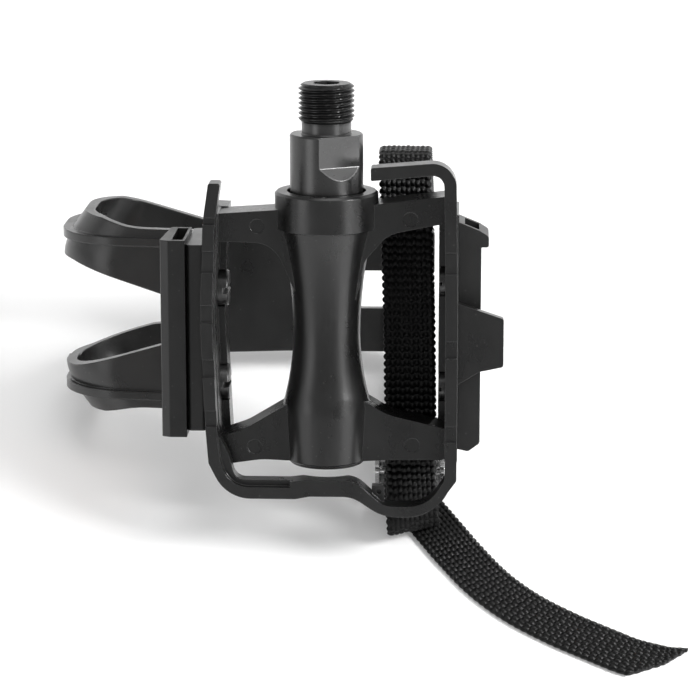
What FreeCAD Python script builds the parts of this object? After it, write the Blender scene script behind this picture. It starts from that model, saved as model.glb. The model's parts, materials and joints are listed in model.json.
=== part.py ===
import FreeCAD, Part
import math
import os
from FreeCAD import Vector

# Bicycle pedal with a bolted toe clip and a webbing toe strap, in millimetres.
# Pedal frame: z runs up the spindle to its thread, x towards the rear of the pedal,
# y towards the side that the shoe stands on. z = 0 is the lowest point of the cage rim.
# At the end everything is leant back and set down as the pedal lies on a flat surface:
# on the strap's lower bend, the buckle and the lower corner of the toe clip.

# Spindle
thread_diameter = 14.29
thread_length = 9.9
spindle_tip_z = 111.2
neck_diameter = 12.9
neck_length = 3.0
shoulder_diameter = 18.8
wrench_across = 15.0
wrench_height = 7.9
wrench_turn = 28.0
runout_height = 4.8
socket_across = 6.0
socket_depth = 6.0
journal_diameter = 9.8
outer_thread_diameter = 7.2
spindle_chamfer = 0.7
shoulder_chamfer = 0.4

# Bearings
ball_diameter = 3.969
race_clearance = 0.03
inner_ball_count = 10
inner_pitch_radius = 7.3
inner_ball_z = 76.6
outer_ball_count = 9
outer_pitch_radius = 6.2
outer_ball_z = 25.6
cup_lip = 1.2
cup_floor = 1.2
fit_clearance = 0.02
thread_clearance = 0.05
cone_length = 4.4
cone_diameter = 14.4
washer_thickness = 1.2
washer_diameter = 13.4
key_flat = 0.6
lock_nut_across = 11.0
lock_nut_height = 3.2
spindle_stub = 0.8

# Barrel of the body
collar_diameter = 26.6
collar_top_z = 83.6
collar_height = 9.4
collar_opening = 20.4
outer_bore = 18.2
through_bore = 12.4
waist_diameter = 17.3
waist_z = 46.2
flare_diameter = 22.6
flare_z = 28.0
barrel_foot_diameter = 21.2
barrel_foot_z = 12.9
cap_flange_diameter = 19.6
cap_flange_thickness = 0.8
cap_plug_depth = 2.2
cap_wall = 1.2

# Cage: one hoop on the near side, two deep plates and four cross arms
rim_near_y = -13.0
rim_depth = 6.0
rim_width = 3.3
rim_ledge_depth = 2.0
rim_inset = 0.12
plate_far_y = 13.0
plate_low_z = 14.0
plate_high_z = 78.6
plate_width = 3.3
plate_flange = 1.8
plate_flange_depth = 9.0
front_x = -30.2
rear_x = 32.3
arm_half_depth = 5.0
tooth_recess = 1.0
eject_mark_diameter = 3.8
eject_mark_depth = 0.35
tab_reach = 45.6
tab_thickness = 2.6
tab_near_y = -8.0

# Toe clip
clip_mid_z = 44.5
clip_bolt_spacing = 25.0
clip_bolt_y = 5.0
clip_base_thickness = 4.6
clip_base_half = 24.6
clip_base_depth = 24.5
clip_wall = 2.8
clip_nose_x = -72.3
clip_top_y = 67.0
clip_sole_y = 27.5
clip_root_y = 22.4
clip_tip_x = 27.2
clip_plate_half = 17.8
clip_slot_half = 5.4
clip_slot_x = 5.0
bead_width = 2.3
bead_height = 1.1
bead_offset = 19.8
bead_shift = 1.2

# Reflectors
front_housing_thickness = 6.6
front_housing_half = 26.0
front_housing_near_y = -2.0
front_housing_depth = 20.0
rear_housing_thickness = 5.8
rear_housing_low_z = 16.0
rear_housing_high_z = 74.5
rear_housing_near_y = -2.0
rear_housing_depth = 12.0
housing_wall = 1.5
lens_thickness = 1.6
lens_clearance = 0.1
lens_groove_pitch = 3.4
lens_groove_depth = 0.5
hook_lip = 1.9
hook_height = 2.8
hook_drop = 2.4
housing_ledge = 0.4

# Fasteners
screw_diameter = 5.0
screw_clearance = 0.15
screw_head_diameter = 9.3
screw_head_height = 3.0
screw_slot = 1.5
nut_across = 8.0
nut_height = 2.6
rear_screw_diameter = 4.0
rear_screw_spacing = 28.0
rear_screw_head = 7.2
rear_head_height = 1.6
rear_screw_y = 4.0
rear_nut_across = 7.0
rear_nut_height = 2.2

# Strap and buckle
strap_width = 13.8
strap_thickness = 1.7
strap_left_x = 14.4
strap_gap = 0.3
strap_bend_radius = 4.0
strap_bend_y = 2.9
strap_bend_z = -2.85
strap_knee_z = 10.4
strap_knee_radius = 12.0
strap_top_radius = 6.0
strap_top_z = 86.0
strap_clearance = 0.15
tail_gap = 0.15
buckle_wall = 1.2
buckle_side_gap = 1.2
buckle_near_y = 20.0
buckle_length = 20.0
anchor_radius = 1.1
pin_radius = 1.2
pin_height = 7.4
pin_offset = 12.0
pin_head_height = 0.7
cam_clearance = 0.1
cam_side_gap = 0.5
lever_length = 13.0
lever_thickness = 1.5
lever_tip_z = 9.8
stitch_length = 6.0
tail_start_y = 15.0
tail_cut_degrees = 51.0
tail_cut_x = 86.1
tail_cut_y = -48.4

# Values that follow from the sizes above
ball_radius = ball_diameter / 2
race_radius = ball_radius + race_clearance
shoulder_top_z = spindle_tip_z - thread_length - neck_length
arm_far_y = arm_half_depth
rim_far_y = rim_near_y + rim_depth
front_outer_x = front_x - plate_width / 2
rear_outer_x = rear_x + plate_width / 2
clip_front_x = front_outer_x - clip_base_thickness
strap_x = strap_left_x + strap_width / 2
near_run_y = arm_far_y + strap_gap + strap_thickness / 2
pin_y = buckle_near_y + pin_offset
ride_z = buckle_wall + strap_clearance + strap_thickness / 2
strap_ride_top = ride_z + strap_thickness / 2
anchor_z = strap_ride_top + 2 * strap_clearance + strap_thickness + anchor_radius
cone_far_z = outer_ball_z - race_radius - cone_length + 1.6
washer_far_z = cone_far_z - washer_thickness
lock_nut_far_z = washer_far_z - lock_nut_height
spindle_end_z = lock_nut_far_z - spindle_stub
rear_seat_x = rear_outer_x - plate_width


# Outlines

def heading(start, end):
    """Unit direction from one plane point to another."""
    run = end[0] - start[0]
    rise = end[1] - start[1]
    length = math.hypot(run, rise)
    return run / length, rise / length


def rounded_corner(before, corner, after, radius, shift):
    """Start, middle and end of the arc at a corner of a path moved sideways by shift."""
    ax, ay = heading(before, corner)
    bx, by = heading(corner, after)
    turn = math.atan2(ax * by - ay * bx, ax * bx + ay * by)
    side = math.copysign(1.0, turn)
    back = radius * math.tan(abs(turn) / 2)
    start = (corner[0] - ax * back, corner[1] - ay * back)
    centre = (start[0] - ay * side * radius, start[1] + ax * side * radius)
    reach = radius - side * shift
    first = math.atan2(start[1] - centre[1], start[0] - centre[0])
    points = []
    for part in (0.0, 0.5, 1.0):
        angle = first + turn * part
        points.append((centre[0] + reach * math.cos(angle), centre[1] + reach * math.sin(angle)))
    return points


def side_of(start, end, shift, at):
    """The point beside a path's end, moved to its left by shift."""
    dx, dy = heading(start, end)
    return at[0] - dy * shift, at[1] + dx * shift


def path_edges(path, shift, place):
    """Lines and arcs along an open path of (point, radius) corners, moved left by shift."""
    points = [corner for corner, radius in path]
    here = side_of(points[0], points[1], shift, points[0])
    edges = []
    for index in range(1, len(path) - 1):
        arc = rounded_corner(points[index - 1], points[index], points[index + 1], path[index][1], shift)
        edges += straight(here, arc[0], place)
        edges.append(Part.Arc(place(*arc[0]), place(*arc[1]), place(*arc[2])).toShape())
        here = arc[2]
    last = side_of(points[-2], points[-1], shift, points[-1])
    edges += straight(here, last, place)
    return edges


def straight(start, end, place):
    """One line edge, or none where the two points meet."""
    first = place(*start)
    second = place(*end)
    if first.distanceToPoint(second) < 1e-6:
        return []
    return [Part.LineSegment(first, second).toShape()]


def ribbon_wire(path, width, place):
    """The closed outline of a band of even width along an open path."""
    left = path_edges(path, width / 2, place)
    right = path_edges(path, -width / 2, place)
    first_cap = Part.LineSegment(left[0].Vertexes[0].Point, right[0].Vertexes[0].Point).toShape()
    last_cap = Part.LineSegment(left[-1].Vertexes[-1].Point, right[-1].Vertexes[-1].Point).toShape()
    return Part.Wire(Part.__sortEdges__(left + [last_cap] + right + [first_cap]))


def closed_wire(path, place):
    """A closed outline of (point, radius) corners; radius 0 keeps a corner sharp."""
    count = len(path)
    stops = []
    for index in range(count):
        corner, radius = path[index]
        if radius == 0:
            stops.append([corner])
        else:
            before = path[index - 1][0]
            after = path[(index + 1) % count][0]
            stops.append(rounded_corner(before, corner, after, radius, 0))
    edges = []
    for index in range(count):
        arc = stops[index]
        if len(arc) == 3:
            edges.append(Part.Arc(place(*arc[0]), place(*arc[1]), place(*arc[2])).toShape())
        edges += straight(arc[-1], stops[(index + 1) % count][0], place)
    return Part.Wire(Part.__sortEdges__(edges))


def across_y(u, v):
    """Outline drawn as (x, z)."""
    return Vector(u, 0, v)


def across_x(u, v):
    """Outline drawn as (y, z)."""
    return Vector(0, u, v)


def across_z(u, v):
    """Outline drawn as (x, y)."""
    return Vector(u, v, 0)


def slab_y(wire, low, high):
    """Solid from an (x, z) outline, between two values of y."""
    wire.translate(Vector(0, low, 0))
    return Part.Face(wire).extrude(Vector(0, high - low, 0))


def slab_x(wire, low, high):
    """Solid from a (y, z) outline, between two values of x."""
    wire.translate(Vector(low, 0, 0))
    return Part.Face(wire).extrude(Vector(high - low, 0, 0))


def slab_z(wire, low, high):
    """Solid from an (x, y) outline, between two values of z."""
    wire.translate(Vector(0, 0, low))
    return Part.Face(wire).extrude(Vector(0, 0, high - low))


def block(x_low, x_high, y_low, y_high, z_low, z_high):
    """Box between two corners."""
    return Part.makeBox(x_high - x_low, y_high - y_low, z_high - z_low, Vector(x_low, y_low, z_low))


def turned(profile, arcs=()):
    """Solid turned about z from (radius, z) points; arcs maps a point's index to its arc's middle."""
    middles = dict(arcs)
    edges = []
    for index in range(len(profile)):
        start = Vector(profile[index][0], 0, profile[index][1])
        following = profile[(index + 1) % len(profile)]
        end = Vector(following[0], 0, following[1])
        if index in middles:
            middle = Vector(middles[index][0], 0, middles[index][1])
            edges.append(Part.Arc(start, middle, end).toShape())
        else:
            edges.append(Part.LineSegment(start, end).toShape())
    return Part.Face(Part.Wire(edges)).revolve(Vector(0, 0, 0), Vector(0, 0, 1), 360)


def rod_x(x_low, x_high, y, z, radius):
    """Round rod along x."""
    return Part.makeCylinder(radius, x_high - x_low, Vector(x_low, y, z), Vector(1, 0, 0))


def hexagon_x(x_low, x_high, y, z, across):
    """Hexagonal prism along x, with flats above and below."""
    radius = across / math.sqrt(3)
    corners = [(y + radius * math.cos(k * math.pi / 3), z + radius * math.sin(k * math.pi / 3))
        for k in range(6)]
    return slab_x(closed_wire([(corner, 0) for corner in corners], across_x), x_low, x_high)


def fused(shapes):
    """One solid from overlapping or touching solids."""
    joined = shapes[0].fuse(shapes[1:]).removeSplitter()
    return joined.Solids[0] if len(joined.Solids) == 1 else joined


def mirrored_mid(shape):
    """The same shape on the other side of the toe clip's middle plane."""
    return shape.mirror(Vector(0, 0, clip_mid_z), Vector(0, 0, 1))


# Spindle and bearings

def groove_middle(pitch_radius, ball_z, from_angle):
    """Middle of a quarter circle of race about a ball's centre."""
    angle = math.radians(from_angle + 45)
    return pitch_radius + race_radius * math.cos(angle), ball_z + race_radius * math.sin(angle)


def spindle():
    thread_radius = thread_diameter / 2
    neck_radius = neck_diameter / 2
    shoulder_radius = shoulder_diameter / 2
    journal_radius = journal_diameter / 2
    end_radius = outer_thread_diameter / 2
    thread_low_z = spindle_tip_z - thread_length
    chamfer = spindle_chamfer
    cone_root = inner_pitch_radius - race_radius
    profile = [
        (0, spindle_tip_z),
        (thread_radius - chamfer, spindle_tip_z),
        (thread_radius, spindle_tip_z - chamfer),
        (thread_radius, thread_low_z + chamfer),
        (neck_radius, thread_low_z),
        (neck_radius, shoulder_top_z),
        (shoulder_radius - shoulder_chamfer, shoulder_top_z),
        (shoulder_radius, shoulder_top_z - shoulder_chamfer),
        (shoulder_radius, inner_ball_z + race_radius),
        (inner_pitch_radius, inner_ball_z + race_radius),
        (cone_root, inner_ball_z),
        (cone_root, inner_ball_z - ball_radius),
        (journal_radius, inner_ball_z - 2 * ball_radius),
        (journal_radius - 0.7, outer_ball_z + 2 * ball_radius),
        (end_radius, outer_ball_z + ball_radius),
        (end_radius, spindle_end_z + chamfer),
        (end_radius - chamfer, spindle_end_z),
        (0, spindle_end_z),
    ]
    solid = turned(profile, {9: groove_middle(inner_pitch_radius, inner_ball_z, 90)})
    flat_low_z = shoulder_top_z - wrench_height
    half = wrench_across / 2
    beyond = shoulder_radius + 1
    outline = [
        ((half, shoulder_top_z + 1), 0),
        ((half, flat_low_z), 0),
        ((beyond, flat_low_z - runout_height), 0),
        ((beyond, shoulder_top_z + 1), 0),
    ]
    flat = slab_x(closed_wire(outline, across_x), -beyond, beyond)
    for angle in (wrench_turn, wrench_turn + 180):
        cutter = flat.copy()
        cutter.rotate(Vector(0, 0, 0), Vector(0, 0, 1), angle)
        solid = solid.cut(cutter)
    socket = hexagon_z(spindle_tip_z - socket_depth, spindle_tip_z + 1, socket_across)
    keyway = block(end_radius - key_flat, beyond, -beyond, beyond, spindle_end_z - 1, cone_far_z)
    return solid.cut(socket).cut(keyway)


def hexagon_z(z_low, z_high, across):
    """Hexagonal prism about the spindle axis."""
    radius = across / math.sqrt(3)
    corners = [(radius * math.cos(k * math.pi / 3), radius * math.sin(k * math.pi / 3)) for k in range(6)]
    return slab_z(closed_wire([(corner, 0) for corner in corners], across_z), z_low, z_high)


def cup(pitch_radius, ball_z, bore_diameter, shaft_radius, outward):
    """Pressed bearing cup; outward is -1 where its floor lies below the balls and 1 above."""
    outer = bore_diameter / 2 - fit_clearance
    lip = shaft_radius + 0.8
    floor_z = ball_z + outward * (race_radius + cup_floor)
    profile = [
        (outer, floor_z),
        (lip, floor_z),
        (lip, ball_z + outward * race_radius),
        (pitch_radius, ball_z + outward * race_radius),
        (pitch_radius + race_radius, ball_z),
        (pitch_radius + race_radius, ball_z - outward * cup_lip),
        (outer, ball_z - outward * cup_lip),
    ]
    start = -90 if outward < 0 else 0
    return turned(profile, {3: groove_middle(pitch_radius, ball_z, start)})


def balls(pitch_radius, ball_z, count):
    """One ring of separate balls."""
    ring = []
    for index in range(count):
        angle = 2 * math.pi * index / count
        centre = Vector(pitch_radius * math.cos(angle), pitch_radius * math.sin(angle), ball_z)
        ring.append(Part.makeSphere(ball_radius, centre))
    return Part.makeCompound(ring)


def outer_cone():
    bore = outer_thread_diameter / 2 + thread_clearance
    top_radius = outer_pitch_radius - race_radius
    profile = [
        (bore, outer_ball_z),
        (top_radius, outer_ball_z),
        (outer_pitch_radius, outer_ball_z - race_radius),
        (cone_diameter / 2, outer_ball_z - race_radius),
        (cone_diameter / 2, cone_far_z),
        (bore, cone_far_z),
    ]
    return turned(profile, {1: groove_middle(outer_pitch_radius, outer_ball_z, 180)})


def keyed_washer():
    bore = outer_thread_diameter / 2 + thread_clearance
    ring = ring_z(washer_far_z, cone_far_z, bore, washer_diameter / 2)
    flat_x = outer_thread_diameter / 2 - key_flat + thread_clearance
    key = Part.makeCylinder(bore + 0.4, washer_thickness, Vector(0, 0, washer_far_z))
    key = key.common(block(flat_x, washer_diameter, -bore, bore, washer_far_z, cone_far_z))
    return fused([ring, key])


def ring_z(z_low, z_high, inner, outer):
    """Flat ring about the spindle axis."""
    start = Vector(0, 0, z_low)
    outside = Part.makeCylinder(outer, z_high - z_low, start)
    return outside.cut(Part.makeCylinder(inner, z_high - z_low, start))


def lock_nut():
    bore = outer_thread_diameter / 2 + thread_clearance
    body = hexagon_z(lock_nut_far_z, washer_far_z, lock_nut_across)
    reach = lock_nut_across / math.sqrt(3)
    bevel = turned([
        (0, lock_nut_far_z),
        (lock_nut_across / 2, lock_nut_far_z),
        (reach + 0.1, lock_nut_far_z + 0.6),
        (reach + 0.1, washer_far_z),
        (0, washer_far_z),
    ])
    return body.common(bevel).cut(Part.makeCylinder(bore, 2 * lock_nut_height,
        Vector(0, 0, lock_nut_far_z - 1)))


def dust_cap():
    plug = outer_bore / 2 - fit_clearance
    flange = cap_flange_diameter / 2
    top = barrel_foot_z + cap_plug_depth
    under = barrel_foot_z - cap_flange_thickness
    return turned([
        (0, under - 0.4),
        (flange - 2.5, under - 0.2),
        (flange - 0.4, under),
        (flange, under + 0.4),
        (flange, barrel_foot_z),
        (plug, barrel_foot_z),
        (plug, top),
        (plug - cap_wall, top),
        (plug - cap_wall, barrel_foot_z + 0.3),
        (0, barrel_foot_z + 0.3),
    ])


# Body of the pedal

def barrel_outside():
    collar = collar_diameter / 2
    waist = waist_diameter / 2
    flare = flare_diameter / 2
    foot = barrel_foot_diameter / 2
    collar_low_z = collar_top_z - collar_height
    profile = [
        (0, barrel_foot_z),
        (foot - 0.4, barrel_foot_z),
        (foot, barrel_foot_z + 0.4),
        (flare, flare_z),
        (waist, waist_z),
        (collar - 1.3, collar_low_z - 0.3),
        (collar, collar_low_z),
        (collar, collar_top_z - 0.6),
        (collar - 0.6, collar_top_z),
        (0, collar_top_z),
    ]
    lower_middle = (waist + 0.26 * (flare - waist), waist_z + 0.48 * (flare_z - waist_z))
    upper_middle = (waist + 0.20 * (collar - waist), waist_z + 0.52 * (collar_low_z - waist_z))
    return turned(profile, {3: lower_middle, 4: upper_middle})


def barrel_bore():
    inner_seat = inner_ball_z - race_radius - cup_floor
    outer_seat = outer_ball_z + race_radius + cup_floor
    through = Part.makeCylinder(through_bore / 2, spindle_tip_z, Vector(0, 0, 0))
    inner = Part.makeCylinder(collar_opening / 2, spindle_tip_z, Vector(0, 0, inner_seat))
    outer = Part.makeCylinder(outer_bore / 2, outer_seat, Vector(0, 0, 0))
    return fused([through, inner, outer])


def rim_outline():
    """Outline of the near hoop: down its outer edge, round the bottom, up to the hook and back inside."""
    half = rim_width / 2
    left = front_x - half + rim_inset
    right = rear_x + half - rim_inset
    band = rim_width - 2 * rim_inset
    hook_x = rear_x - 20.6
    outer = [
        ((left + 2.4, 87.2), 0.6),
        ((left + 0.9, 77.0), 40),
        ((left, 52.0), 120),
        ((left + 0.9, 26.0), 120),
        ((left + 1.8, 14.4), 2),
        ((-25.3, 5.1), 10),
        ((-7.6, 5.1), 3),
        ((-4.0, 5.8), 3),
        ((7.1, 5.8), 8),
        ((14.9, 0.5), 12),
        ((28.0, 0.5), 12),
        ((31.6, 7.2), 1.0),
        ((right, 10.3), 1.5),
        ((right, 52.0), 150),
        ((right - 0.6, 91.4 + half), 6.1),
        ((hook_x, 89.7 + half), 0.5),
    ]
    inner = [
        ((hook_x, 89.7 - half), 0.5),
        ((right - band - 0.6, 91.4 - half), 2.9),
        ((right - band, 52.0), 150),
        ((right - band, 10.4), 2),
        ((26.3, 3.3), 9.2),
        ((15.1, 3.3), 6),
        ((7.85, 10.1), 7),
        ((-5.0, 10.1), 4),
        ((-9.0, 9.6), 4),
        ((-23.2, 9.6), 3.4),
        ((-24.8, 16.0), 3),
        ((left + band + 1.0, 22.0), 10),
        ((left + band, 52.0), 120),
        ((left + band + 0.9, 77.0), 40),
        ((left + band + 2.4, 87.2), 0.6),
    ]
    return outer + inner


def rim_ledge():
    """Step along the hoop's lower left inner edge, where the near face is narrower than the band behind."""
    outline = [
        ((-9.0, 8.05), 0), ((-9.0, 12.0), 0), ((-20.0, 12.0), 0), ((-23.0, 21.0), 0), ((-27.6, 21.0), 0),
        ((-26.9, 15.0), 4), ((-24.6, 8.1), 7),
    ]
    return slab_y(closed_wire(outline, across_y), rim_near_y - 1, rim_near_y + rim_ledge_depth)


def rim_lug():
    """Small square lug behind the hoop's lower inner edge, with a dimple."""
    lug = block(12.0, 15.2, rim_near_y + 3.0, rim_far_y, 3.6, 8.0)
    return lug.cut(Part.makeCylinder(0.6, 2, Vector(13.8, rim_near_y + 2.0, 6.4), Vector(0, 1, 0)))


def front_plate_path(inset):
    """Middle line of the front plate, moved towards the barrel by inset."""
    return [
        ((front_x + 1.2 + inset, plate_high_z), 0),
        ((front_x + inset, 52.0), 120),
        ((front_x + 1.0 + inset, 26.0), 120),
        ((front_x + 1.6 + inset, plate_low_z), 0),
    ]


def rear_plate_path(inset):
    """Middle line of the rear plate, moved towards the barrel by inset."""
    return [
        ((rear_x - inset, plate_high_z), 0),
        ((rear_x - inset, plate_low_z), 0),
    ]


def plates():
    """The two deep plates, each with a thicker flange along its far edge."""
    flange_low_y = plate_far_y - plate_flange_depth
    flange_width = plate_flange + plate_width / 2
    pieces = []
    for path in (front_plate_path, rear_plate_path):
        web = ribbon_wire(path(0), plate_width, across_y)
        pieces.append(slab_y(web, rim_far_y - 0.5, plate_far_y))
        flange = ribbon_wire(path(flange_width / 2), flange_width, across_y)
        pieces.append(slab_y(flange, flange_low_y, plate_far_y))
    return pieces


def arms():
    """Four cross arms from the barrel to the plates; each outline runs into the barrel's middle."""
    left = front_x
    right = rear_x
    arm_foot_z = barrel_foot_z + 0.3
    outlines = [
        [((0, 80.0), 0), ((left, 78.0), 0), ((left, 71.0), 0), ((-13.5, 70.6), 8), ((-8.0, 58.0), 0),
            ((0, 58.0), 0)],
        [((0, 79.2), 0), ((right, 83.1), 0), ((right, 76.3), 0), ((16.0, 73.0), 8), ((9.8, 66.0), 6),
         ((7.8, 56.0), 0), ((0, 56.0), 0)],
        [((0, 32.0), 0), ((-9.9, 28.4), 8), ((-20.8, 21.8), 14), ((left, 18.6), 0), ((left, 11.6), 3),
         ((-16.7, 13.6), 20), ((-8.0, arm_foot_z), 0), ((0, arm_foot_z), 0)],
        [((0, 32.0), 0), ((8.6, 30.0), 8), ((16.0, 25.6), 14), ((right, 21.8), 0), ((right, 13.8), 3),
         ((15.7, 13.6), 20), ((8.0, arm_foot_z), 0), ((0, arm_foot_z), 0)],
    ]
    pieces = []
    for outline in outlines:
        pieces.append(slab_y(closed_wire(outline, across_y), -arm_half_depth, arm_half_depth))
    return pieces


def flip_tab():
    """Tab on the rear plate that the shoe catches to turn the pedal over."""
    root = rear_x
    outline = [
        ((root, 56.3), 0),
        ((tab_reach, 51.8), 0.8),
        ((tab_reach, 39.3), 0.8),
        ((rear_outer_x + 5.6, 38.0), 2),
        ((root, 33.5), 0),
    ]
    return slab_y(closed_wire(outline, across_y), tab_near_y, tab_near_y + tab_thickness)


def tooth_cuts():
    """Shallow steps in the hoop's near face that grip the shoe sole."""
    cuts = []
    reach = plate_width
    front_rows = [(24.0, 28.2), (37.0, 41.6), (51.2, 55.8), (64.2, 69.8), (76.6, 78.4)]
    rear_rows = [(20.4, 24.6), (42.4, 46.9), (64.2, 69.8)]
    for x, rows in ((front_x, front_rows), (rear_x, rear_rows)):
        for low, high in rows:
            cuts.append(block(x - reach, x + reach, rim_near_y - 1, rim_near_y + tooth_recess, low, high))
    return cuts


def eject_marks():
    """Round ejector marks in the near faces of the arms."""
    depth = arm_half_depth
    marks = []
    for x, z in ((-17.6, 74.9), (21.6, 76.9), (22.4, 17.6), (-18.6, 16.9)):
        start = Vector(x, -depth - 0.5, z)
        marks.append(Part.makeCylinder(eject_mark_diameter / 2, 0.5 + eject_mark_depth, start,
            Vector(0, 1, 0)))
    return marks


def front_bolt_heights():
    return [clip_mid_z - clip_bolt_spacing / 2, clip_mid_z + clip_bolt_spacing / 2]


def rear_bolt_heights():
    middle = (rear_housing_low_z + rear_housing_high_z) / 2
    return [middle - rear_screw_spacing / 2, middle + rear_screw_spacing / 2]


def pedal_body():
    hoop = slab_y(closed_wire(rim_outline(), across_y), rim_near_y, rim_far_y).cut(rim_ledge())
    solid = fused([barrel_outside(), hoop, rim_lug(), flip_tab()] + plates() + arms())
    drills = [barrel_bore()] + tooth_cuts() + eject_marks()
    for z in front_bolt_heights():
        hole = screw_diameter / 2 + screw_clearance
        drills.append(rod_x(front_outer_x - 2, front_x + plate_width + plate_flange, clip_bolt_y, z, hole))
        seat = screw_head_diameter / 2 + 0.3
        seat_x = front_outer_x + plate_width
        drills.append(rod_x(seat_x, seat_x + plate_flange + 3, clip_bolt_y, z, seat))
    for z in rear_bolt_heights():
        hole = rear_screw_diameter / 2 + screw_clearance
        drills.append(rod_x(rear_seat_x - plate_flange, rear_outer_x + 2, rear_screw_y, z, hole))
        drills.append(rod_x(rear_seat_x - plate_flange - 1, rear_seat_x, rear_screw_y, z,
            rear_screw_head / 2 + 0.3))
    notch = Part.makeCone(0.9, 0.0, 0.9, Vector(0, -collar_diameter / 2 + 1.4, collar_top_z + 0.01),
        Vector(0, 0, -1))
    drills.append(notch)
    return solid.cut(drills)


# Toe clip

def clip_section(nose_shift, z, width):
    """Side outline of the clip's bent band: along the sole, round the nose and back over the toe."""
    nose = clip_nose_x + nose_shift
    path = [
        ((front_outer_x - 1.0, clip_root_y), 0),
        ((nose, clip_sole_y), 17.0),
        ((nose, clip_top_y), 16.5),
        ((front_outer_x + 2.0, clip_top_y), 0),
    ]

    def place(u, v):
        return Vector(u, v, z)

    return ribbon_wire(path, width, place)


def clip_band():
    """The upper arm's band: sections whose nose draws back towards the outer edge."""
    sections = []
    for offset, nose_shift in ((3.0, 0.0), (14.0, 0.2), (19.0, 1.2), (22.0, 2.8), (27.0, 6.3), (30.0, 8.6)):
        sections.append(clip_section(nose_shift, clip_mid_z + offset, clip_wall))
    return Part.makeLoft(sections, True, False)


def clip_trim(outline, y_low, y_high):
    """Block that keeps the part of a band inside an outline of (x, height above the middle)."""
    path = [((x, clip_mid_z + offset), radius) for x, offset, radius in outline]
    return slab_y(closed_wire(path, across_y), y_low, y_high)


def clip_arm():
    """Upper arm, trimmed along its sole half and its top half, with a bead near its outer edge."""
    root = front_outer_x - 2.0
    split_y = (clip_sole_y + clip_top_y) / 2
    beyond = clip_nose_x - 5.0
    sole_outline = [
        (root, 3.0, 0), (root, 24.4, 0), (-53.0, 24.4, 30), (-61.5, 26.6, 3), (-67.0, 26.9, 0),
        (beyond, 26.9, 0),
        (beyond, 15.4, 0), (-70.0, 14.6, 10), (-54.5, 9.8, 30), (-43.5, 6.4, 8),
    ]
    top_outline = [
        (root, 9.0, 0), (root, 18.6, 0), (-60.0, 26.3, 6), (-67.0, 26.9, 0), (beyond, 26.9, 0),
        (beyond, 16.0, 0), (-69.0, 15.4, 10), (-52.0, 10.4, 10),
    ]
    band = clip_band()
    sole = band.common(clip_trim(sole_outline, clip_root_y - 8, split_y))
    top = band.common(clip_trim(top_outline, split_y, clip_top_y + clip_wall))
    bead_low_z = clip_mid_z + bead_offset
    bead = Part.Face(clip_section(bead_shift, bead_low_z, clip_wall + 2 * bead_height))
    bead = bead.extrude(Vector(0, 0, bead_width)).cut(toe_space(bead_low_z))
    bead = bead.common(block(beyond, root, 0, clip_top_y - 6, bead_low_z, bead_low_z + bead_width))
    return fused([sole, top, bead])


def toe_space(z_low):
    """Space inside the bent band at the bead's height."""
    nose = clip_nose_x + bead_shift
    path = [
        ((front_outer_x, clip_root_y), 0), ((nose, clip_sole_y), 17.0),
        ((nose, clip_top_y), 19.0), ((front_outer_x, clip_top_y), 0),
    ]
    return slab_z(closed_wire(path, across_z), z_low - 1, z_low + bead_width + 1)


def toe_clip():
    root = front_outer_x
    half = clip_base_half
    base_outline = [
        ((clip_front_x, -0.5), 1.2), ((root, -0.5), 0.6), ((root, clip_base_depth), 0),
        ((clip_front_x, clip_base_depth), 1.5),
    ]
    base = slab_z(closed_wire(base_outline, across_z), clip_mid_z - half, clip_mid_z + half)
    plate_path = [
        (root - 1.0, -18.4, 0), (-14.0, -clip_plate_half, 60), (clip_tip_x, -clip_plate_half, 2.5),
        (clip_tip_x, clip_plate_half, 2.5), (-14.0, clip_plate_half, 60), (root - 1.0, 18.4, 0),
        (root - 5.0, 19.6, 0), (root - 5.0, -19.6, 0),
    ]
    plate = clip_trim(plate_path, clip_top_y - clip_wall / 2, clip_top_y + clip_wall / 2)
    window_path = [
        (-70.0, -13.0, 0), (-52.0, -9.5, 8), (root - 3.0, -8.6, 5),
        (root - 3.0, 8.6, 5), (-52.0, 9.5, 8), (-70.0, 13.0, 0),
    ]
    window = clip_trim(window_path, clip_top_y - clip_wall, clip_top_y + clip_wall)
    slot_path = [
        (clip_slot_x, -clip_slot_half, 2.0), (clip_tip_x + 2, -clip_slot_half, 0),
        (clip_tip_x + 2, clip_slot_half, 0), (clip_slot_x, clip_slot_half, 2.0),
    ]
    slot = clip_trim(slot_path, clip_top_y - clip_wall, clip_top_y + clip_wall)
    arm = clip_arm()
    solid = fused([base, plate.cut(window).cut(slot), arm, mirrored_mid(arm)])
    drills = []
    for z in front_bolt_heights():
        drills.append(rod_x(clip_front_x - 2, root + 2, clip_bolt_y, z, screw_diameter / 2 + screw_clearance))
    return solid.cut(drills)


# Reflectors

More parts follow.
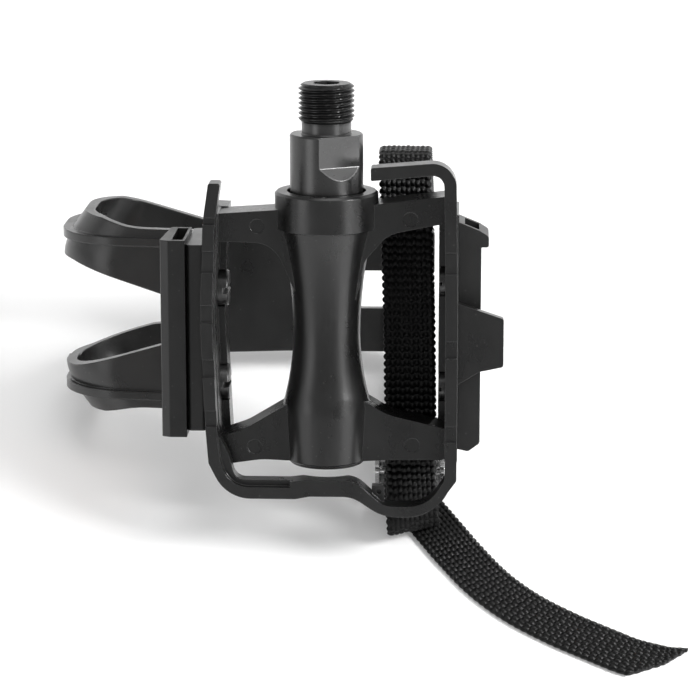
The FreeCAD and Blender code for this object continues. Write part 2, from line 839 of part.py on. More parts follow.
def front_reflector_housing():
    """Open-backed box that stands in front of the clip's base, hollow behind its lens."""
    outer_x = clip_front_x - front_housing_thickness
    near = front_housing_near_y
    far = near + front_housing_depth
    half = front_housing_half
    outline = [((outer_x, near + 1.0), 0.8), ((outer_x + 2.2, near), 0.8), ((clip_front_x, near), 0),
               ((clip_front_x, far), 0), ((outer_x + 1.4, far), 0.8)]
    shell = slab_z(closed_wire(outline, across_z), clip_mid_z - half, clip_mid_z + half)
    wall = housing_wall
    pocket = block(outer_x - 1, outer_x + lens_thickness, near + wall, far - wall,
                   clip_mid_z - half + wall, clip_mid_z + half - wall)
    ledge = wall + housing_ledge
    hollow = block(outer_x - 1, clip_front_x - wall, near + ledge, far - ledge,
                   clip_mid_z - half + ledge, clip_mid_z + half - ledge)
    mouth = block(outer_x + lens_thickness + wall, clip_front_x - 0.6, near + wall, far - wall,
                  clip_mid_z + half - 4 * wall, clip_mid_z + half + 1)
    solid = shell.cut([pocket, hollow, mouth])
    drills = []
    for z in front_bolt_heights():
        drills.append(rod_x(clip_front_x - 2 * wall, clip_front_x + 1, clip_bolt_y, z,
            screw_diameter / 2 + screw_clearance))
    return solid.cut(drills)


def lens(x_low, x_high, y_low, y_high, z_low, z_high, grooved_x):
    """Thin reflector lens with upright prism grooves in its hidden face."""
    plate = block(x_low, x_high, y_low, y_high, z_low, z_high)
    count = int((y_high - y_low - 1) / lens_groove_pitch)
    start = (y_low + y_high) / 2 - (count - 1) * lens_groove_pitch / 2
    grooves = []
    for index in range(count):
        y = start + index * lens_groove_pitch
        depth = lens_groove_depth
        corners = [(grooved_x - depth, y), (grooved_x, y - depth), (grooved_x + depth, y),
            (grooved_x, y + depth)]
        wire = closed_wire([(corner, 0) for corner in corners], across_z)
        grooves.append(slab_z(wire, z_low - 1, z_high + 1))
    return plate.cut(grooves)


def front_reflector_lens():
    outer_x = clip_front_x - front_housing_thickness
    wall = housing_wall
    gap = lens_clearance
    near = front_housing_near_y + wall + gap
    far = front_housing_near_y + front_housing_depth - wall - gap
    half = front_housing_half - wall - gap
    inner_x = outer_x + lens_thickness
    return lens(outer_x + 0.3, inner_x, near, far, clip_mid_z - half, clip_mid_z + half, inner_x)


def rear_reflector_housing():
    """Box on the rear plate, with a lipped hook at its top corner."""
    low_x = rear_outer_x
    high_x = low_x + rear_housing_thickness
    near = rear_housing_near_y
    far = near + rear_housing_depth
    wall = housing_wall
    outline = [
        ((low_x, rear_housing_low_z), 0),
        ((low_x, rear_housing_high_z + 1.3), 0),
        ((high_x - 0.4, rear_housing_high_z - 0.9), 1.5),
        ((high_x + hook_lip, rear_housing_high_z - hook_drop), 1.0),
        ((high_x + hook_lip, rear_housing_high_z - hook_drop - hook_height), 0.6),
        ((high_x, rear_housing_high_z - hook_drop - hook_height), 0.3),
        ((high_x, rear_housing_low_z + 1.6), 1.2),
        ((high_x - 3.0, rear_housing_low_z - 0.6), 1.0),
    ]
    shell = slab_y(closed_wire(outline, across_y), near, far)
    pocket = block(high_x - lens_thickness, high_x + 5, near + wall, far - wall,
                   rear_housing_low_z + 3 * wall, rear_lens_top())
    ledge = wall + housing_ledge
    hollow = block(low_x + wall, high_x + 5, near + ledge, far - ledge,
                   rear_housing_low_z + 3 * wall + housing_ledge, rear_lens_top() - housing_ledge)
    mouth = block(low_x + wall, high_x - 0.6, near + wall, far - wall,
                  rear_housing_high_z - 3.0, rear_housing_high_z + 5)
    drills = [pocket, hollow, mouth]
    for z in rear_bolt_heights():
        drills.append(rod_x(low_x - 1, low_x + 2 * wall, rear_screw_y, z,
            rear_screw_diameter / 2 + screw_clearance))
    return shell.cut(drills)


def rear_lens_top():
    return rear_housing_high_z - hook_drop - hook_height - housing_wall


def rear_reflector_lens():
    high_x = rear_outer_x + rear_housing_thickness
    wall = housing_wall
    gap = lens_clearance
    inner_x = high_x - lens_thickness
    near = rear_housing_near_y + wall + gap
    far = rear_housing_near_y + rear_housing_depth - wall - gap
    low_z = rear_housing_low_z + 3 * wall + gap
    return lens(inner_x, high_x - 0.3, near, far, low_z, rear_lens_top() - gap, inner_x)


# Fasteners

def clip_screw(z):
    """Slotted screw from inside the cage through plate, clip base and housing."""
    seat_x = front_outer_x + plate_width
    tip_x = clip_front_x - housing_wall - nut_height
    head = rod_x(seat_x, seat_x + screw_head_height, clip_bolt_y, z, screw_head_diameter / 2)
    head = head.makeFillet(0.6, [edge for edge in head.Edges
        if edge.BoundBox.XLength < 0.01 and edge.BoundBox.XMin > seat_x + 1])
    shank = rod_x(tip_x, seat_x + 0.5, clip_bolt_y, z, screw_diameter / 2)
    slot_x = seat_x + screw_head_height / 2
    slot = block(slot_x, slot_x + screw_head_height, clip_bolt_y - screw_head_diameter,
        clip_bolt_y + screw_head_diameter,
                 z - screw_slot / 2, z + screw_slot / 2)
    return fused([head, shank]).cut(slot)


def clip_nut(z):
    high_x = clip_front_x - housing_wall
    body = hexagon_x(high_x - nut_height, high_x, clip_bolt_y, z, nut_across)
    return body.cut(rod_x(high_x - 9, high_x + 1, clip_bolt_y, z, screw_diameter / 2 + thread_clearance))


def rear_screw(z):
    """Screw whose head is sunk in the plate, from inside the cage into the rear reflector housing."""
    tip_x = rear_outer_x + housing_wall + rear_nut_height
    head_x = rear_seat_x - rear_head_height
    head = rod_x(head_x, rear_seat_x, rear_screw_y, z, rear_screw_head / 2)
    shank = rod_x(rear_seat_x - 0.5, tip_x, rear_screw_y, z, rear_screw_diameter / 2)
    slot = block(head_x - 1, head_x + rear_head_height / 2, rear_screw_y - rear_screw_head,
        rear_screw_y + rear_screw_head,
                 z - 0.5, z + 0.5)
    return fused([head, shank]).cut(slot)


def rear_nut(z):
    low_x = rear_outer_x + housing_wall
    body = hexagon_x(low_x, low_x + rear_nut_height, rear_screw_y, z, rear_nut_across)
    return body.cut(rod_x(low_x - 1, low_x + 9, rear_screw_y, z, rear_screw_diameter / 2 + thread_clearance))


# Resting pose

def turned_yz(y, z, lean):
    """A pedal-frame point's distance and height once the pedal leans back, before it is set down."""
    return y * math.cos(lean) + z * math.sin(lean), -y * math.sin(lean) + z * math.cos(lean)


def floor_below_bend(lean):
    """Height of the floor while the strap's lower bend lies on its own tail."""
    depth = strap_bend_radius + strap_thickness / 2 + tail_gap + strap_thickness
    return turned_yz(strap_bend_y, strap_bend_z, lean)[1] - depth


def resting_pose(clip):
    """Lean angle and floor height at which the clip's lower corner meets the floor too."""
    points = clip.tessellate(0.02)[0]

    def clip_above_floor(lean):
        return min(turned_yz(point.y, point.z, lean)[1] for point in points) - floor_below_bend(lean)

    upright = 0.0
    lying = math.radians(45)
    for step in range(40):
        lean = (upright + lying) / 2
        if clip_above_floor(lean) > 0:
            upright = lean
        else:
            lying = lean
    return lean, floor_below_bend(lean)


# Strap and buckle, drawn where they lie: x as in the pedal, then distance and height

def tangent_heading(start, centre, radius, side):
    """Direction of the line from a point that touches a circle; side is 1 or -1."""
    reach = math.hypot(centre[0] - start[0], centre[1] - start[1])
    angle = math.atan2(centre[1] - start[1], centre[0] - start[0]) + side * math.asin(radius / reach)
    return math.cos(angle), math.sin(angle)


def crossing(first, first_heading, second, second_heading):
    """Point where two lines meet."""
    ax, ay = first_heading
    bx, by = second_heading
    along = ((second[0] - first[0]) * by - (second[1] - first[1]) * bx) / (ax * by - ay * bx)
    return first[0] + ax * along, first[1] + ay * along


def strap_loop_path(lean, floor_height):
    """Middle line of the loop from the buckle's anchor bar round the pedal and through the buckle again."""

    def lay(y, z):
        far, height = turned_yz(y, z, lean)
        return far, height - floor_height

    half = strap_thickness / 2
    outside = clip_top_y + clip_wall / 2 + strap_clearance + half
    inside = clip_top_y - clip_wall / 2 - strap_clearance - half
    upper_edge = clip_mid_z + clip_plate_half
    lower_edge = clip_mid_z - clip_plate_half
    slot_high = clip_mid_z + clip_slot_half
    slot_low = clip_mid_z - clip_slot_half
    crest_z = strap_top_z + strap_top_radius
    anchor = (buckle_near_y, anchor_z)
    knee = lay(near_run_y, strap_knee_z)
    centre = lay(strap_bend_y, strap_bend_z)
    from_anchor = tangent_heading(anchor, centre, strap_bend_radius, 1)
    from_knee = tangent_heading(knee, centre, strap_bend_radius, -1)
    bend = crossing(anchor, from_anchor, knee, from_knee)
    return [
        (anchor, 0),
        (bend, strap_bend_radius),
        (knee, strap_knee_radius),
        (lay(near_run_y, crest_z), strap_top_radius),
        (lay(near_run_y + 2.4 * strap_top_radius, crest_z - 0.4), 9.0),
        (lay(outside, upper_edge + 6.0), 9.0),
        (lay(outside, slot_high - 0.8), 4.0),
        (lay(inside, slot_low + 0.8), 4.0),
        (lay(inside, lower_edge - 3.0), 6.0),
        ((buckle_near_y + buckle_length + 9.0, 9.0), 5.0),
        ((buckle_near_y + buckle_length + 6.0, ride_z), 5.0),
        ((buckle_near_y - 0.5, ride_z), 10.0),
        ((tail_start_y + 1.0, half), 10.0),
        ((tail_start_y - 2.0, half), 0),
    ]


def tail_path():
    """Middle line of the free tail on the floor, seen from above."""
    return [
        ((strap_x, tail_start_y + 3.0), 0),
        ((strap_x + 0.2, tail_start_y), 10),
        ((33.8, -6.5), 60),
        ((45.5, -26.0), 40),
        ((62.5, -38.0), 80),
        ((78.0, -46.4), 30),
        ((98.0, -51.8), 0),
    ]


def strap(lean, floor_height):
    """The webbing as one piece: stitched eye, loop and free tail with a slanted end."""
    x_low = strap_left_x
    x_high = strap_left_x + strap_width
    path = strap_loop_path(lean, floor_height)
    loop = slab_x(ribbon_wire(path, strap_thickness, across_x), x_low, x_high)
    tail = slab_z(ribbon_wire(tail_path(), strap_width, across_z), 0, strap_thickness)
    waste = block(tail_cut_x, tail_cut_x + 3 * strap_width, tail_cut_y - 3 * strap_width,
        tail_cut_y + 3 * strap_width,
                  -1, 2 * strap_thickness)
    waste.rotate(Vector(tail_cut_x, tail_cut_y, 0), Vector(0, 0, 1), -tail_cut_degrees)
    dy, dz = heading(path[0][0], path[1][0])
    eye_radius = anchor_radius + strap_clearance
    reach = eye_radius + strap_thickness + stitch_length
    doubled = [((buckle_near_y, anchor_z), 0), ((buckle_near_y + dy * reach, anchor_z + dz * reach), 0)]
    tongue = slab_x(ribbon_wire(doubled, 2 * strap_thickness, across_x), x_low, x_high)
    eye = rod_x(x_low, x_high, buckle_near_y, anchor_z, eye_radius + strap_thickness)
    hole = rod_x(x_low - 1, x_high + 1, buckle_near_y, anchor_z, eye_radius)
    return fused([loop, tail.cut(waste), tongue, eye]).cut(hole)


def buckle_inner_half():
    return strap_width / 2 + buckle_side_gap


def buckle_frame():
    """Folded steel frame: a plate under the strap, two ears for the cam's pin, and an anchor bar."""
    inner = buckle_inner_half()
    near_y = buckle_near_y - anchor_radius - 1.1
    far_y = buckle_near_y + buckle_length
    bar_top = anchor_z + anchor_radius + 1.1
    ear_outline = [
        ((near_y, 1.0), 1.0), ((near_y, bar_top), 1.8), ((buckle_near_y + 2.2, bar_top), 1.8),
        ((buckle_near_y + 3.6, 5.2), 2.0), ((pin_y - 4.6, 5.2), 2.0), ((pin_y - 2.6, pin_height + 2.6), 2.2),
        ((pin_y + 2.6, pin_height + 2.6), 2.4), ((pin_y + 4.4, 3.4), 3.0), ((far_y, 2.6), 1.0),
        ((far_y, 0), 0),
        ((near_y + 1.2, 0), 0),
    ]
    pieces = [block(strap_x - inner - 0.1, strap_x + inner + 0.1, near_y + 2.0, far_y, 0, buckle_wall)]
    for low in (strap_x - inner - buckle_wall, strap_x + inner):
        pieces.append(slab_x(closed_wire(ear_outline, across_x), low, low + buckle_wall))
    pieces.append(rod_x(strap_x - inner - 0.2, strap_x + inner + 0.2, buckle_near_y, anchor_z, anchor_radius))
    hole = rod_x(strap_x - 2 * inner, strap_x + 2 * inner, pin_y, pin_height, pin_radius + fit_clearance)
    return fused(pieces).cut(hole)


def buckle_pin():
    """Pin riveted over the outside of both ears."""
    reach = buckle_inner_half() + buckle_wall
    head_radius = 1.6 * pin_radius
    shank = rod_x(strap_x - reach, strap_x + reach, pin_y, pin_height, pin_radius)
    left = rod_x(strap_x - reach - pin_head_height, strap_x - reach, pin_y, pin_height, head_radius)
    right = rod_x(strap_x + reach, strap_x + reach + pin_head_height, pin_y, pin_height, head_radius)
    return fused([shank, left, right])


def buckle_cam():
    """Toothed cam that presses on the strap, with its release lever over the sewn end."""
    half_width = buckle_inner_half() - cam_side_gap
    nose_z = strap_ride_top + cam_clearance
    tip_y = pin_y - lever_length
    outline = [
        ((pin_y + 2.1, pin_height + 2.1), 1.8), ((pin_y + 2.1, pin_height - 2.4), 1.4),
        ((pin_y + 0.6, nose_z), 0.6),
        ((pin_y - 2.0, nose_z), 0.6), ((pin_y - 3.6, nose_z + 1.2), 0.8),
        ((pin_y - 3.2, pin_height + 0.8), 1.6),
        ((tip_y, lever_tip_z), 0.3), ((tip_y, lever_tip_z + lever_thickness), 0.6),
        ((pin_y - 2.4, pin_height + 2.5), 2.0),
    ]
    solid = slab_x(closed_wire(outline, across_x), strap_x - half_width, strap_x + half_width)
    cuts = [rod_x(strap_x - 2 * half_width, strap_x + 2 * half_width, pin_y, pin_height,
        pin_radius + thread_clearance)]
    for shift in (-1.7, -0.7, 0.3):
        tooth = [((pin_y + shift - 0.3, nose_z - 0.5), 0), ((pin_y + shift + 0.3, nose_z - 0.5), 0),
                 ((pin_y + shift, nose_z + 0.5), 0)]
        cuts.append(slab_x(closed_wire(tooth, across_x), strap_x - 2 * half_width, strap_x + 2 * half_width))
    return solid.cut(cuts)


# Assembly

def pedal_nodes():
    """Every piece that is modelled in the pedal frame."""
    low_bolt, high_bolt = front_bolt_heights()
    low_rear, high_rear = rear_bolt_heights()
    journal = journal_diameter / 2
    return {
        "spindle": spindle(),
        "inner_bearing_cup": cup(inner_pitch_radius, inner_ball_z, collar_opening, journal, -1),
        "inner_balls": balls(inner_pitch_radius, inner_ball_z, inner_ball_count),
        "outer_bearing_cup": cup(outer_pitch_radius, outer_ball_z, outer_bore, journal - 0.7, 1),
        "outer_balls": balls(outer_pitch_radius, outer_ball_z, outer_ball_count),
        "outer_cone": outer_cone(),
        "keyed_washer": keyed_washer(),
        "lock_nut": lock_nut(),
        "dust_cap": dust_cap(),
        "pedal_body": pedal_body(),
        "toe_clip": toe_clip(),
        "front_reflector_housing": front_reflector_housing(),
        "front_reflector_lens": front_reflector_lens(),
        "rear_reflector_housing": rear_reflector_housing(),
        "rear_reflector_lens": rear_reflector_lens(),
        "clip_screw_outer": clip_screw(low_bolt),
        "clip_screw_inner": clip_screw(high_bolt),
        "clip_nut_outer": clip_nut(low_bolt),
        "clip_nut_inner": clip_nut(high_bolt),
        "rear_screw_outer": rear_screw(low_rear),
        "rear_screw_inner": rear_screw(high_rear),
        "rear_nut_outer": rear_nut(low_rear),
        "rear_nut_inner": rear_nut(high_rear),
    }


def floor_nodes(lean, floor_height):
    """The pieces that are drawn where they lie."""
    return {
        "toe_strap": strap(lean, floor_height),
        "buckle_frame": buckle_frame(),
        "buckle_pin": buckle_pin(),
        "buckle_cam": buckle_cam(),
    }


def moved(shape, base, turn=None):
    """A copy carried by an optional turn about x and then a shift."""
    placed = shape.copy()
    if turn is not None:
        placed.rotate(Vector(0, 0, 0), Vector(1, 0, 0), turn)
    placed.translate(base)
    return placed


def main():
    os.makedirs("parts", exist_ok=True)
    upright = pedal_nodes()
    lean, floor_height = resting_pose(upright["toe_clip"])
    nodes = {}
    for name, shape in upright.items():
        nodes[name] = moved(shape, Vector(0, 0, -floor_height), -math.degrees(lean))
    nodes.update(floor_nodes(lean, floor_height))
    box = Part.makeCompound(list(nodes.values())).optimalBoundingBox(True, False)
    centre = Vector(-(box.XMin + box.XMax) / 2, -(box.YMin + box.YMax) / 2, 0)
    for name, shape in nodes.items():
        placed = moved(shape, centre)
        placed.exportStep("parts/" + name + ".step")
        print(name, "solids", len(placed.Solids), "valid", placed.isValid(), "volume",
            round(placed.Volume, 1))
    print("lean degrees", round(math.degrees(lean), 3))
    print("spindle axis", 0, round(math.sin(lean), 6), round(math.cos(lean), 6))
    print("shift", round(centre.x, 4), round(centre.y, 4), round(-floor_height, 4))
    print("size", round(box.XLength, 2), round(box.YLength, 2), round(box.ZLength, 2), "lowest",
        round(box.ZMin, 3))


main()
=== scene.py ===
# %% [markdown]
# # Cage pedal with a toe clip and strap
# A moulded pedal stands on its clip and strap with its spindle up. The rigid pieces come from the frame.
# This file gives them their finishes, turns a real thread on the spindle, weaves the strap and sets up
# the light and the camera.

import json
import math

import bmesh
import bpy
import numpy as np
from mathutils import Matrix


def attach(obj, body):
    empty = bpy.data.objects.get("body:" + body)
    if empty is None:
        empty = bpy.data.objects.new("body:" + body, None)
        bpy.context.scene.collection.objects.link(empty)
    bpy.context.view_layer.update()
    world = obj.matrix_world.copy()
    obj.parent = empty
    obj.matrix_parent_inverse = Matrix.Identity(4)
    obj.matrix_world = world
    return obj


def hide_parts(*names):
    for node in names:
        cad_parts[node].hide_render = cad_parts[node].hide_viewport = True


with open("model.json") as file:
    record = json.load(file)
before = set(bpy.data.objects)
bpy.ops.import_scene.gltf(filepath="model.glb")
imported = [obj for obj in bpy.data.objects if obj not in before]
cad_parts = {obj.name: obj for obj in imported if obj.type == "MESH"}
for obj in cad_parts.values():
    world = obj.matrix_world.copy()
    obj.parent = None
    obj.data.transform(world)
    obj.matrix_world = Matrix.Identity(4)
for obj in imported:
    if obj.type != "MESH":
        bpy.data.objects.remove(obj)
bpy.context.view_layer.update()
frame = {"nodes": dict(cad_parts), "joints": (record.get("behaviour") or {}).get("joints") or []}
nodes = frame["nodes"]
print("pieces in the frame:", len(nodes))

# %% [markdown]
# ## Where the pedal stands
# The pedal was measured in its own upright frame: millimetres, z along the spindle, y away from the
# rider's shoe side. On the floor it leans back. The new pieces could be built leaning, but their sizes are
# easier to read upright. The spindle's hinge holds both the lean and the place, so they are read from it
# and no number is written twice.

# %% Upright frame to floor frame
spindle_hinge = next(joint for joint in frame["joints"] if joint["name"] == "spindle_spin")
lean_sin, lean_cos = spindle_hinge["axis"][1], spindle_hinge["axis"][2]
race_height = 76.6
upright_to_floor = np.array([[1, 0, 0], [0, lean_cos, lean_sin], [0, -lean_sin, lean_cos]])
pedal_place = np.array(spindle_hinge["pos_m"]) * 1000 - upright_to_floor @ np.array([0, 0, race_height])


def on_floor(points):
    """Upright millimetres to floor-frame metres: turn by the lean, shift, and divide by a thousand."""
    return (np.asarray(points, float) @ upright_to_floor.T + pedal_place) / 1000


print("lean", round(math.degrees(math.asin(lean_sin)), 2), "place", pedal_place.round(2))

# %% [markdown]
# ## Camera
# A long lens far away, 12.6 degrees above the pedal's own cross plane and 2.2 degrees to its right. The
# focal length in pixels and the distance give 3.86 pixels per millimetre at the barrel. The camera could be
# moved about by hand until the picture fits. Worked out in the upright frame, it follows the pedal's lean.

# %% Object helpers
def add_object(name, data):
    """A new object that holds the data, linked into the scene."""
    item = bpy.data.objects.new(name, data)
    bpy.context.scene.collection.objects.link(item)
    return item


def put(item, axes, place):
    """Turn an object to three axes, given as columns, and move it to a place in metres."""
    matrix = np.eye(4)
    matrix[:3, :3] = axes
    matrix[:3, 3] = place
    item.matrix_world = Matrix(matrix.tolist())


# %% Camera
focal_px, picture_px, px_per_mm, sensor_mm = 2900.0, 700, 3.86, 36.0
look_azimuth, look_down = math.radians(2.2), math.radians(12.6)
target = np.array([6.0, 0.0, 41.7])

forward = np.array([-math.sin(look_azimuth) * math.cos(look_down),
                    math.cos(look_azimuth) * math.cos(look_down), -math.sin(look_down)])
right = np.array([math.cos(look_azimuth), math.sin(look_azimuth), 0.0])
above = np.cross(right, forward)
eye = target - forward * focal_px / px_per_mm

camera_data = bpy.data.cameras.new("camera")
camera_data.sensor_width = sensor_mm
camera_data.lens = focal_px * sensor_mm / picture_px
camera_data.clip_start = 0.01
camera_data.clip_end = 20.0
camera = add_object("camera", camera_data)
put(camera, upright_to_floor @ np.array([right, above, -forward]).T, on_floor([eye])[0])
bpy.context.scene.camera = camera
print("lens", round(camera_data.lens, 1), "mm, camera at", on_floor([eye])[0].round(3))

# %% [markdown]
# ## Material helpers
# Every finish is a Principled shader fed by a few nodes. They could be wired by hand in the shader editor.
# In code each finish reads like a recipe, and short helpers keep it so: they make a material or a node, set
# or link its inputs, and name the few things that every recipe does.

# %% Nodes and their inputs
def set_inputs(tree, node, values):
    """Each named input of a node gets its value, or a link where the value is a socket."""
    for key, value in values.items():
        if isinstance(value, bpy.types.NodeSocket):
            tree.links.new(value, node.inputs[key])
        else:
            node.inputs[key].default_value = value


def add_node(tree, kind, values=None, **settings):
    """A node with its settings, and its inputs set to a value or linked to a socket."""
    node = tree.nodes.new("ShaderNode" + kind)
    for key, value in settings.items():
        setattr(node, key, value)
    set_inputs(tree, node, values or {})
    return node


def new_material(name):
    """An empty node material with its Principled shader already wired to the output."""
    material = bpy.data.materials.new(name)
    material.use_nodes = True
    tree = material.node_tree
    tree.nodes.clear()
    shader = add_node(tree, "BsdfPrincipled")
    add_node(tree, "OutputMaterial", {"Surface": shader.outputs["BSDF"]})
    return material, tree, shader


# %% Numbers
def maths(tree, operation, *terms, clamp=False):
    """The result of one Math node on two or three terms, each a number or a socket."""
    node = add_node(tree, "Math", dict(enumerate(terms)), operation=operation, use_clamp=clamp)
    return node.outputs["Value"]


def remap(tree, source, low, high, to_low=0.0, to_high=1.0):
    """Map Range: low..high of the source becomes to_low..to_high, clamped."""
    return add_node(tree, "MapRange", {"Value": source, "From Min": low, "From Max": high,
                                       "To Min": to_low, "To Max": to_high}).outputs["Result"]


def dot(tree, first, second):
    """The dot product of two vectors, each three numbers or a socket."""
    return add_node(tree, "VectorMath", {0: first, 1: second}, operation="DOT_PRODUCT").outputs["Value"]


# %% Colours and patterns
noise_low, noise_high = 0.3, 0.7


def grey(tone):
    """The same tone in red, green and blue."""
    return (tone, tone, tone)


def tint(tree, factor, first, second):
    """A colour between two, by factor. Each of the two is a colour or a socket that carries one."""
    ends = [end if isinstance(end, bpy.types.NodeSocket) else (*end, 1) for end in (first, second)]
    mix = add_node(tree, "Mix", {"Factor": factor, "A": ends[0], "B": ends[1]}, data_type="RGBA")
    return mix.outputs["Result"]


def object_points(tree, stretch=(1, 1, 1)):
    """Object coordinates, stretched along the axes."""
    source = add_node(tree, "TexCoord").outputs["Object"]
    return add_node(tree, "Mapping", {"Vector": source, "Scale": stretch}).outputs["Vector"]


def noise(tree, points, per_metre, detail=3.0, roughness=0.5):
    """Fractal noise with about per_metre cells to the metre."""
    return add_node(tree, "TexNoise", {"Vector": points, "Scale": per_metre, "Detail": detail,
                                       "Roughness": roughness}).outputs["Fac"]


# %% [markdown]
# ## Worn edges and painted highlights
# On a real moulding the sharp edges are rubbed: they are rounder, a touch lighter and shinier than the
# faces beside them. On the resin the lighter tone is also a painted highlight: it stands in for the light
# that catches along the edges. A painted mask would need a UV map, and the Pointiness of the geometry a dense
# mesh.
# The Bevel node gives the normal that a rounded edge would have. Where it leaves the true normal, their dot
# product falls below one, and that is a mask of the edges that needs no extra mesh.

# %% Edge mask
bevel_samples = 6
like_a_face, like_an_edge = 0.995, 0.86


def rounded_edge_mask(tree, radius_mm):
    """The rounded normal, and a mask: rounded normal . true normal, stretched to 0 on faces, 1 on edges."""
    rounded = add_node(tree, "Bevel", {"Radius": radius_mm / 1000}, samples=bevel_samples).outputs["Normal"]
    true_normal = add_node(tree, "NewGeometry").outputs["Normal"]
    return rounded, remap(tree, dot(tree, rounded, true_normal), like_a_face, like_an_edge)


# %% [markdown]
# ## Moulded resin
# Cage, clip and reflector boxes are glass-filled nylon: nearly black, with a fine spark-eroded grain that
# breaks the highlight, broad patches where the mould was polished a little more, and a scatter of pale dust
# in the pores. A picture of such a surface would show its seams. Noise on Object coordinates has none, and
# it rides with the piece. Each finish is the same recipe with its own darkness, gloss and edge radius.

# %% Resin recipe
patch_stretch, patch_cells, patch_low = (1, 1, 0.45), 110.0, 0.35
pore_cells, pore_rim, pore_middle = 380.0, 0.10, 0.04
fine_cells, coarse_cells, grain_height_m = 3800.0, 900.0, 0.00008
# The edges are painted paler than the faces: partly wear, partly a painted highlight along them.
worn_and_highlit_share, worn_and_highlit_gain, rubbed_shine = 0.3, (3.2, 3.3, 3.3), 0.10
dust_share, dust_colour = 0.35, (0.09, 0.09, 0.088)
resin_ior = 1.5


def moulded_resin(name, tones, rough, grain, edge_mm, gloss=0.5):
    """Colour: patches, dust, edges paler from wear and a painted highlight. Roughness: patches, worn edges.
    Bump: grain.
    """
    material, tree, shader = new_material(name)
    points = object_points(tree)
    patches = noise(tree, object_points(tree, patch_stretch), patch_cells, 4.0, 0.6)
    rounded, edges = rounded_edge_mask(tree, edge_mm)
    cloudy = tint(tree, remap(tree, patches, patch_low, noise_high), grey(tones[0]), grey(tones[1]))
    # Paler edges: wear, and a painted highlight that stands for light catching along them.
    paler_edges = tint(tree, remap(tree, edges, 0.0, 1.0, 0.0, worn_and_highlit_share), cloudy,
                  [gain * tones[1] for gain in worn_and_highlit_gain])
    pores = add_node(tree, "TexVoronoi", {"Vector": points, "Scale": pore_cells}).outputs["Distance"]
    in_pore = remap(tree, pores, pore_rim, pore_middle, 0.0, dust_share)
    patch_rough = remap(tree, patches, noise_low, noise_high, *rough)
    edge_shine = remap(tree, edges, 0.0, 1.0, 0.0, rubbed_shine)
    relief = maths(tree, "ADD", noise(tree, points, fine_cells, 2.0, 0.5),
                   noise(tree, points, coarse_cells, 3.0, 0.55))
    bump = add_node(tree, "Bump", {"Height": relief, "Strength": grain, "Distance": grain_height_m,
                                   "Normal": rounded})
    set_inputs(tree, shader, {
        "Base Color": tint(tree, in_pore, paler_edges, dust_colour),
        "Roughness": maths(tree, "SUBTRACT", patch_rough, edge_shine),
        "Normal": bump.outputs["Normal"], "IOR": resin_ior, "Specular IOR Level": gloss,
    })
    return material


# %% Resins
cage_resin = moulded_resin("cage_resin", (0.0045, 0.0075), (0.25, 0.33), grain=0.15, edge_mm=0.28, gloss=0.62)
clip_resin = moulded_resin("clip_resin", (0.0100, 0.0140), (0.26, 0.35), grain=0.12, edge_mm=0.6, gloss=0.6)
post_resin = moulded_resin("post_resin", (0.0085, 0.012), (0.32, 0.44), grain=0.14, edge_mm=0.3)
cap_resin = moulded_resin("cap_resin", (0.006, 0.009), (0.30, 0.42), grain=0.14, edge_mm=0.3)
print("resins:", cage_resin.name, clip_resin.name, post_resin.name, cap_resin.name)

# %% [markdown]
# ## Steels
# Screws and nuts are black oxide with rubbed edges. Races and balls are bright. The buckle is plated sheet,
# with light drawing lines and a few handling marks. One recipe serves them: noise, stretched along the
# tool's path, varies tone and gloss. The axle is turned and blackened, with its shoulder rubbed paler and
# its thread black with oil. Its tone depends on the height along the axis, so it has a recipe of its own.

# %% Steel recipe
steel_edge_mm, marks_height_m = 0.22, 0.00004
bright_edge_share, bright_edge_gain = 0.6, 2.2


def worked_steel(name, tones, rough, metallic, stretch, per_metre, relief):
    """Metal whose tool marks are noise stretched across the tool's path, rubbed paler along its edges."""
    material, tree, shader = new_material(name)
    marks = noise(tree, object_points(tree, stretch), per_metre, 3.0, 0.6)
    rounded, edges = rounded_edge_mask(tree, steel_edge_mm)
    streaky = tint(tree, remap(tree, marks, noise_low, noise_high), grey(tones[0]), grey(tones[1]))
    paler_edges = tint(tree, remap(tree, edges, 0.0, 1.0, 0.0, bright_edge_share), streaky,
                  grey(min(1.0, bright_edge_gain * tones[1])))
    bump = add_node(tree, "Bump", {"Height": marks, "Strength": relief, "Distance": marks_height_m,
                                   "Normal": rounded})
    set_inputs(tree, shader, {
        "Base Color": paler_edges, "Roughness": remap(tree, marks, noise_low, noise_high, *rough),
        "Normal": bump.outputs["Normal"], "Metallic": metallic,
    })
    return material


# %% Axle recipe
thread_low = 101.3
worn_until_m, oiled_from_m = -0.0008, 0.0004
ring_stretch, ring_cells, ring_rough = (0.3, 0.3, 1), 2600.0, (0.27, 0.31)


def turned_black(name, thread_start, worn_tone, oiled_tone):
    """Blackened steel: worn below thread_start, oily black above. Height is position dotted with the axis."""
    material, tree, shader = new_material(name)
    place = add_node(tree, "TexCoord").outputs["Object"]
    height = dot(tree, place, (0.0, float(lean_sin), float(lean_cos)))
    oiled = remap(tree, height, thread_start + worn_until_m, thread_start + oiled_from_m)
    rings = noise(tree, object_points(tree, ring_stretch), ring_cells, 3.0, 0.6)
    set_inputs(tree, shader, {
        "Base Color": tint(tree, oiled, grey(worn_tone), grey(oiled_tone)),
        "Roughness": remap(tree, rings, noise_low, noise_high, *ring_rough), "Metallic": 0.9,
    })
    return material


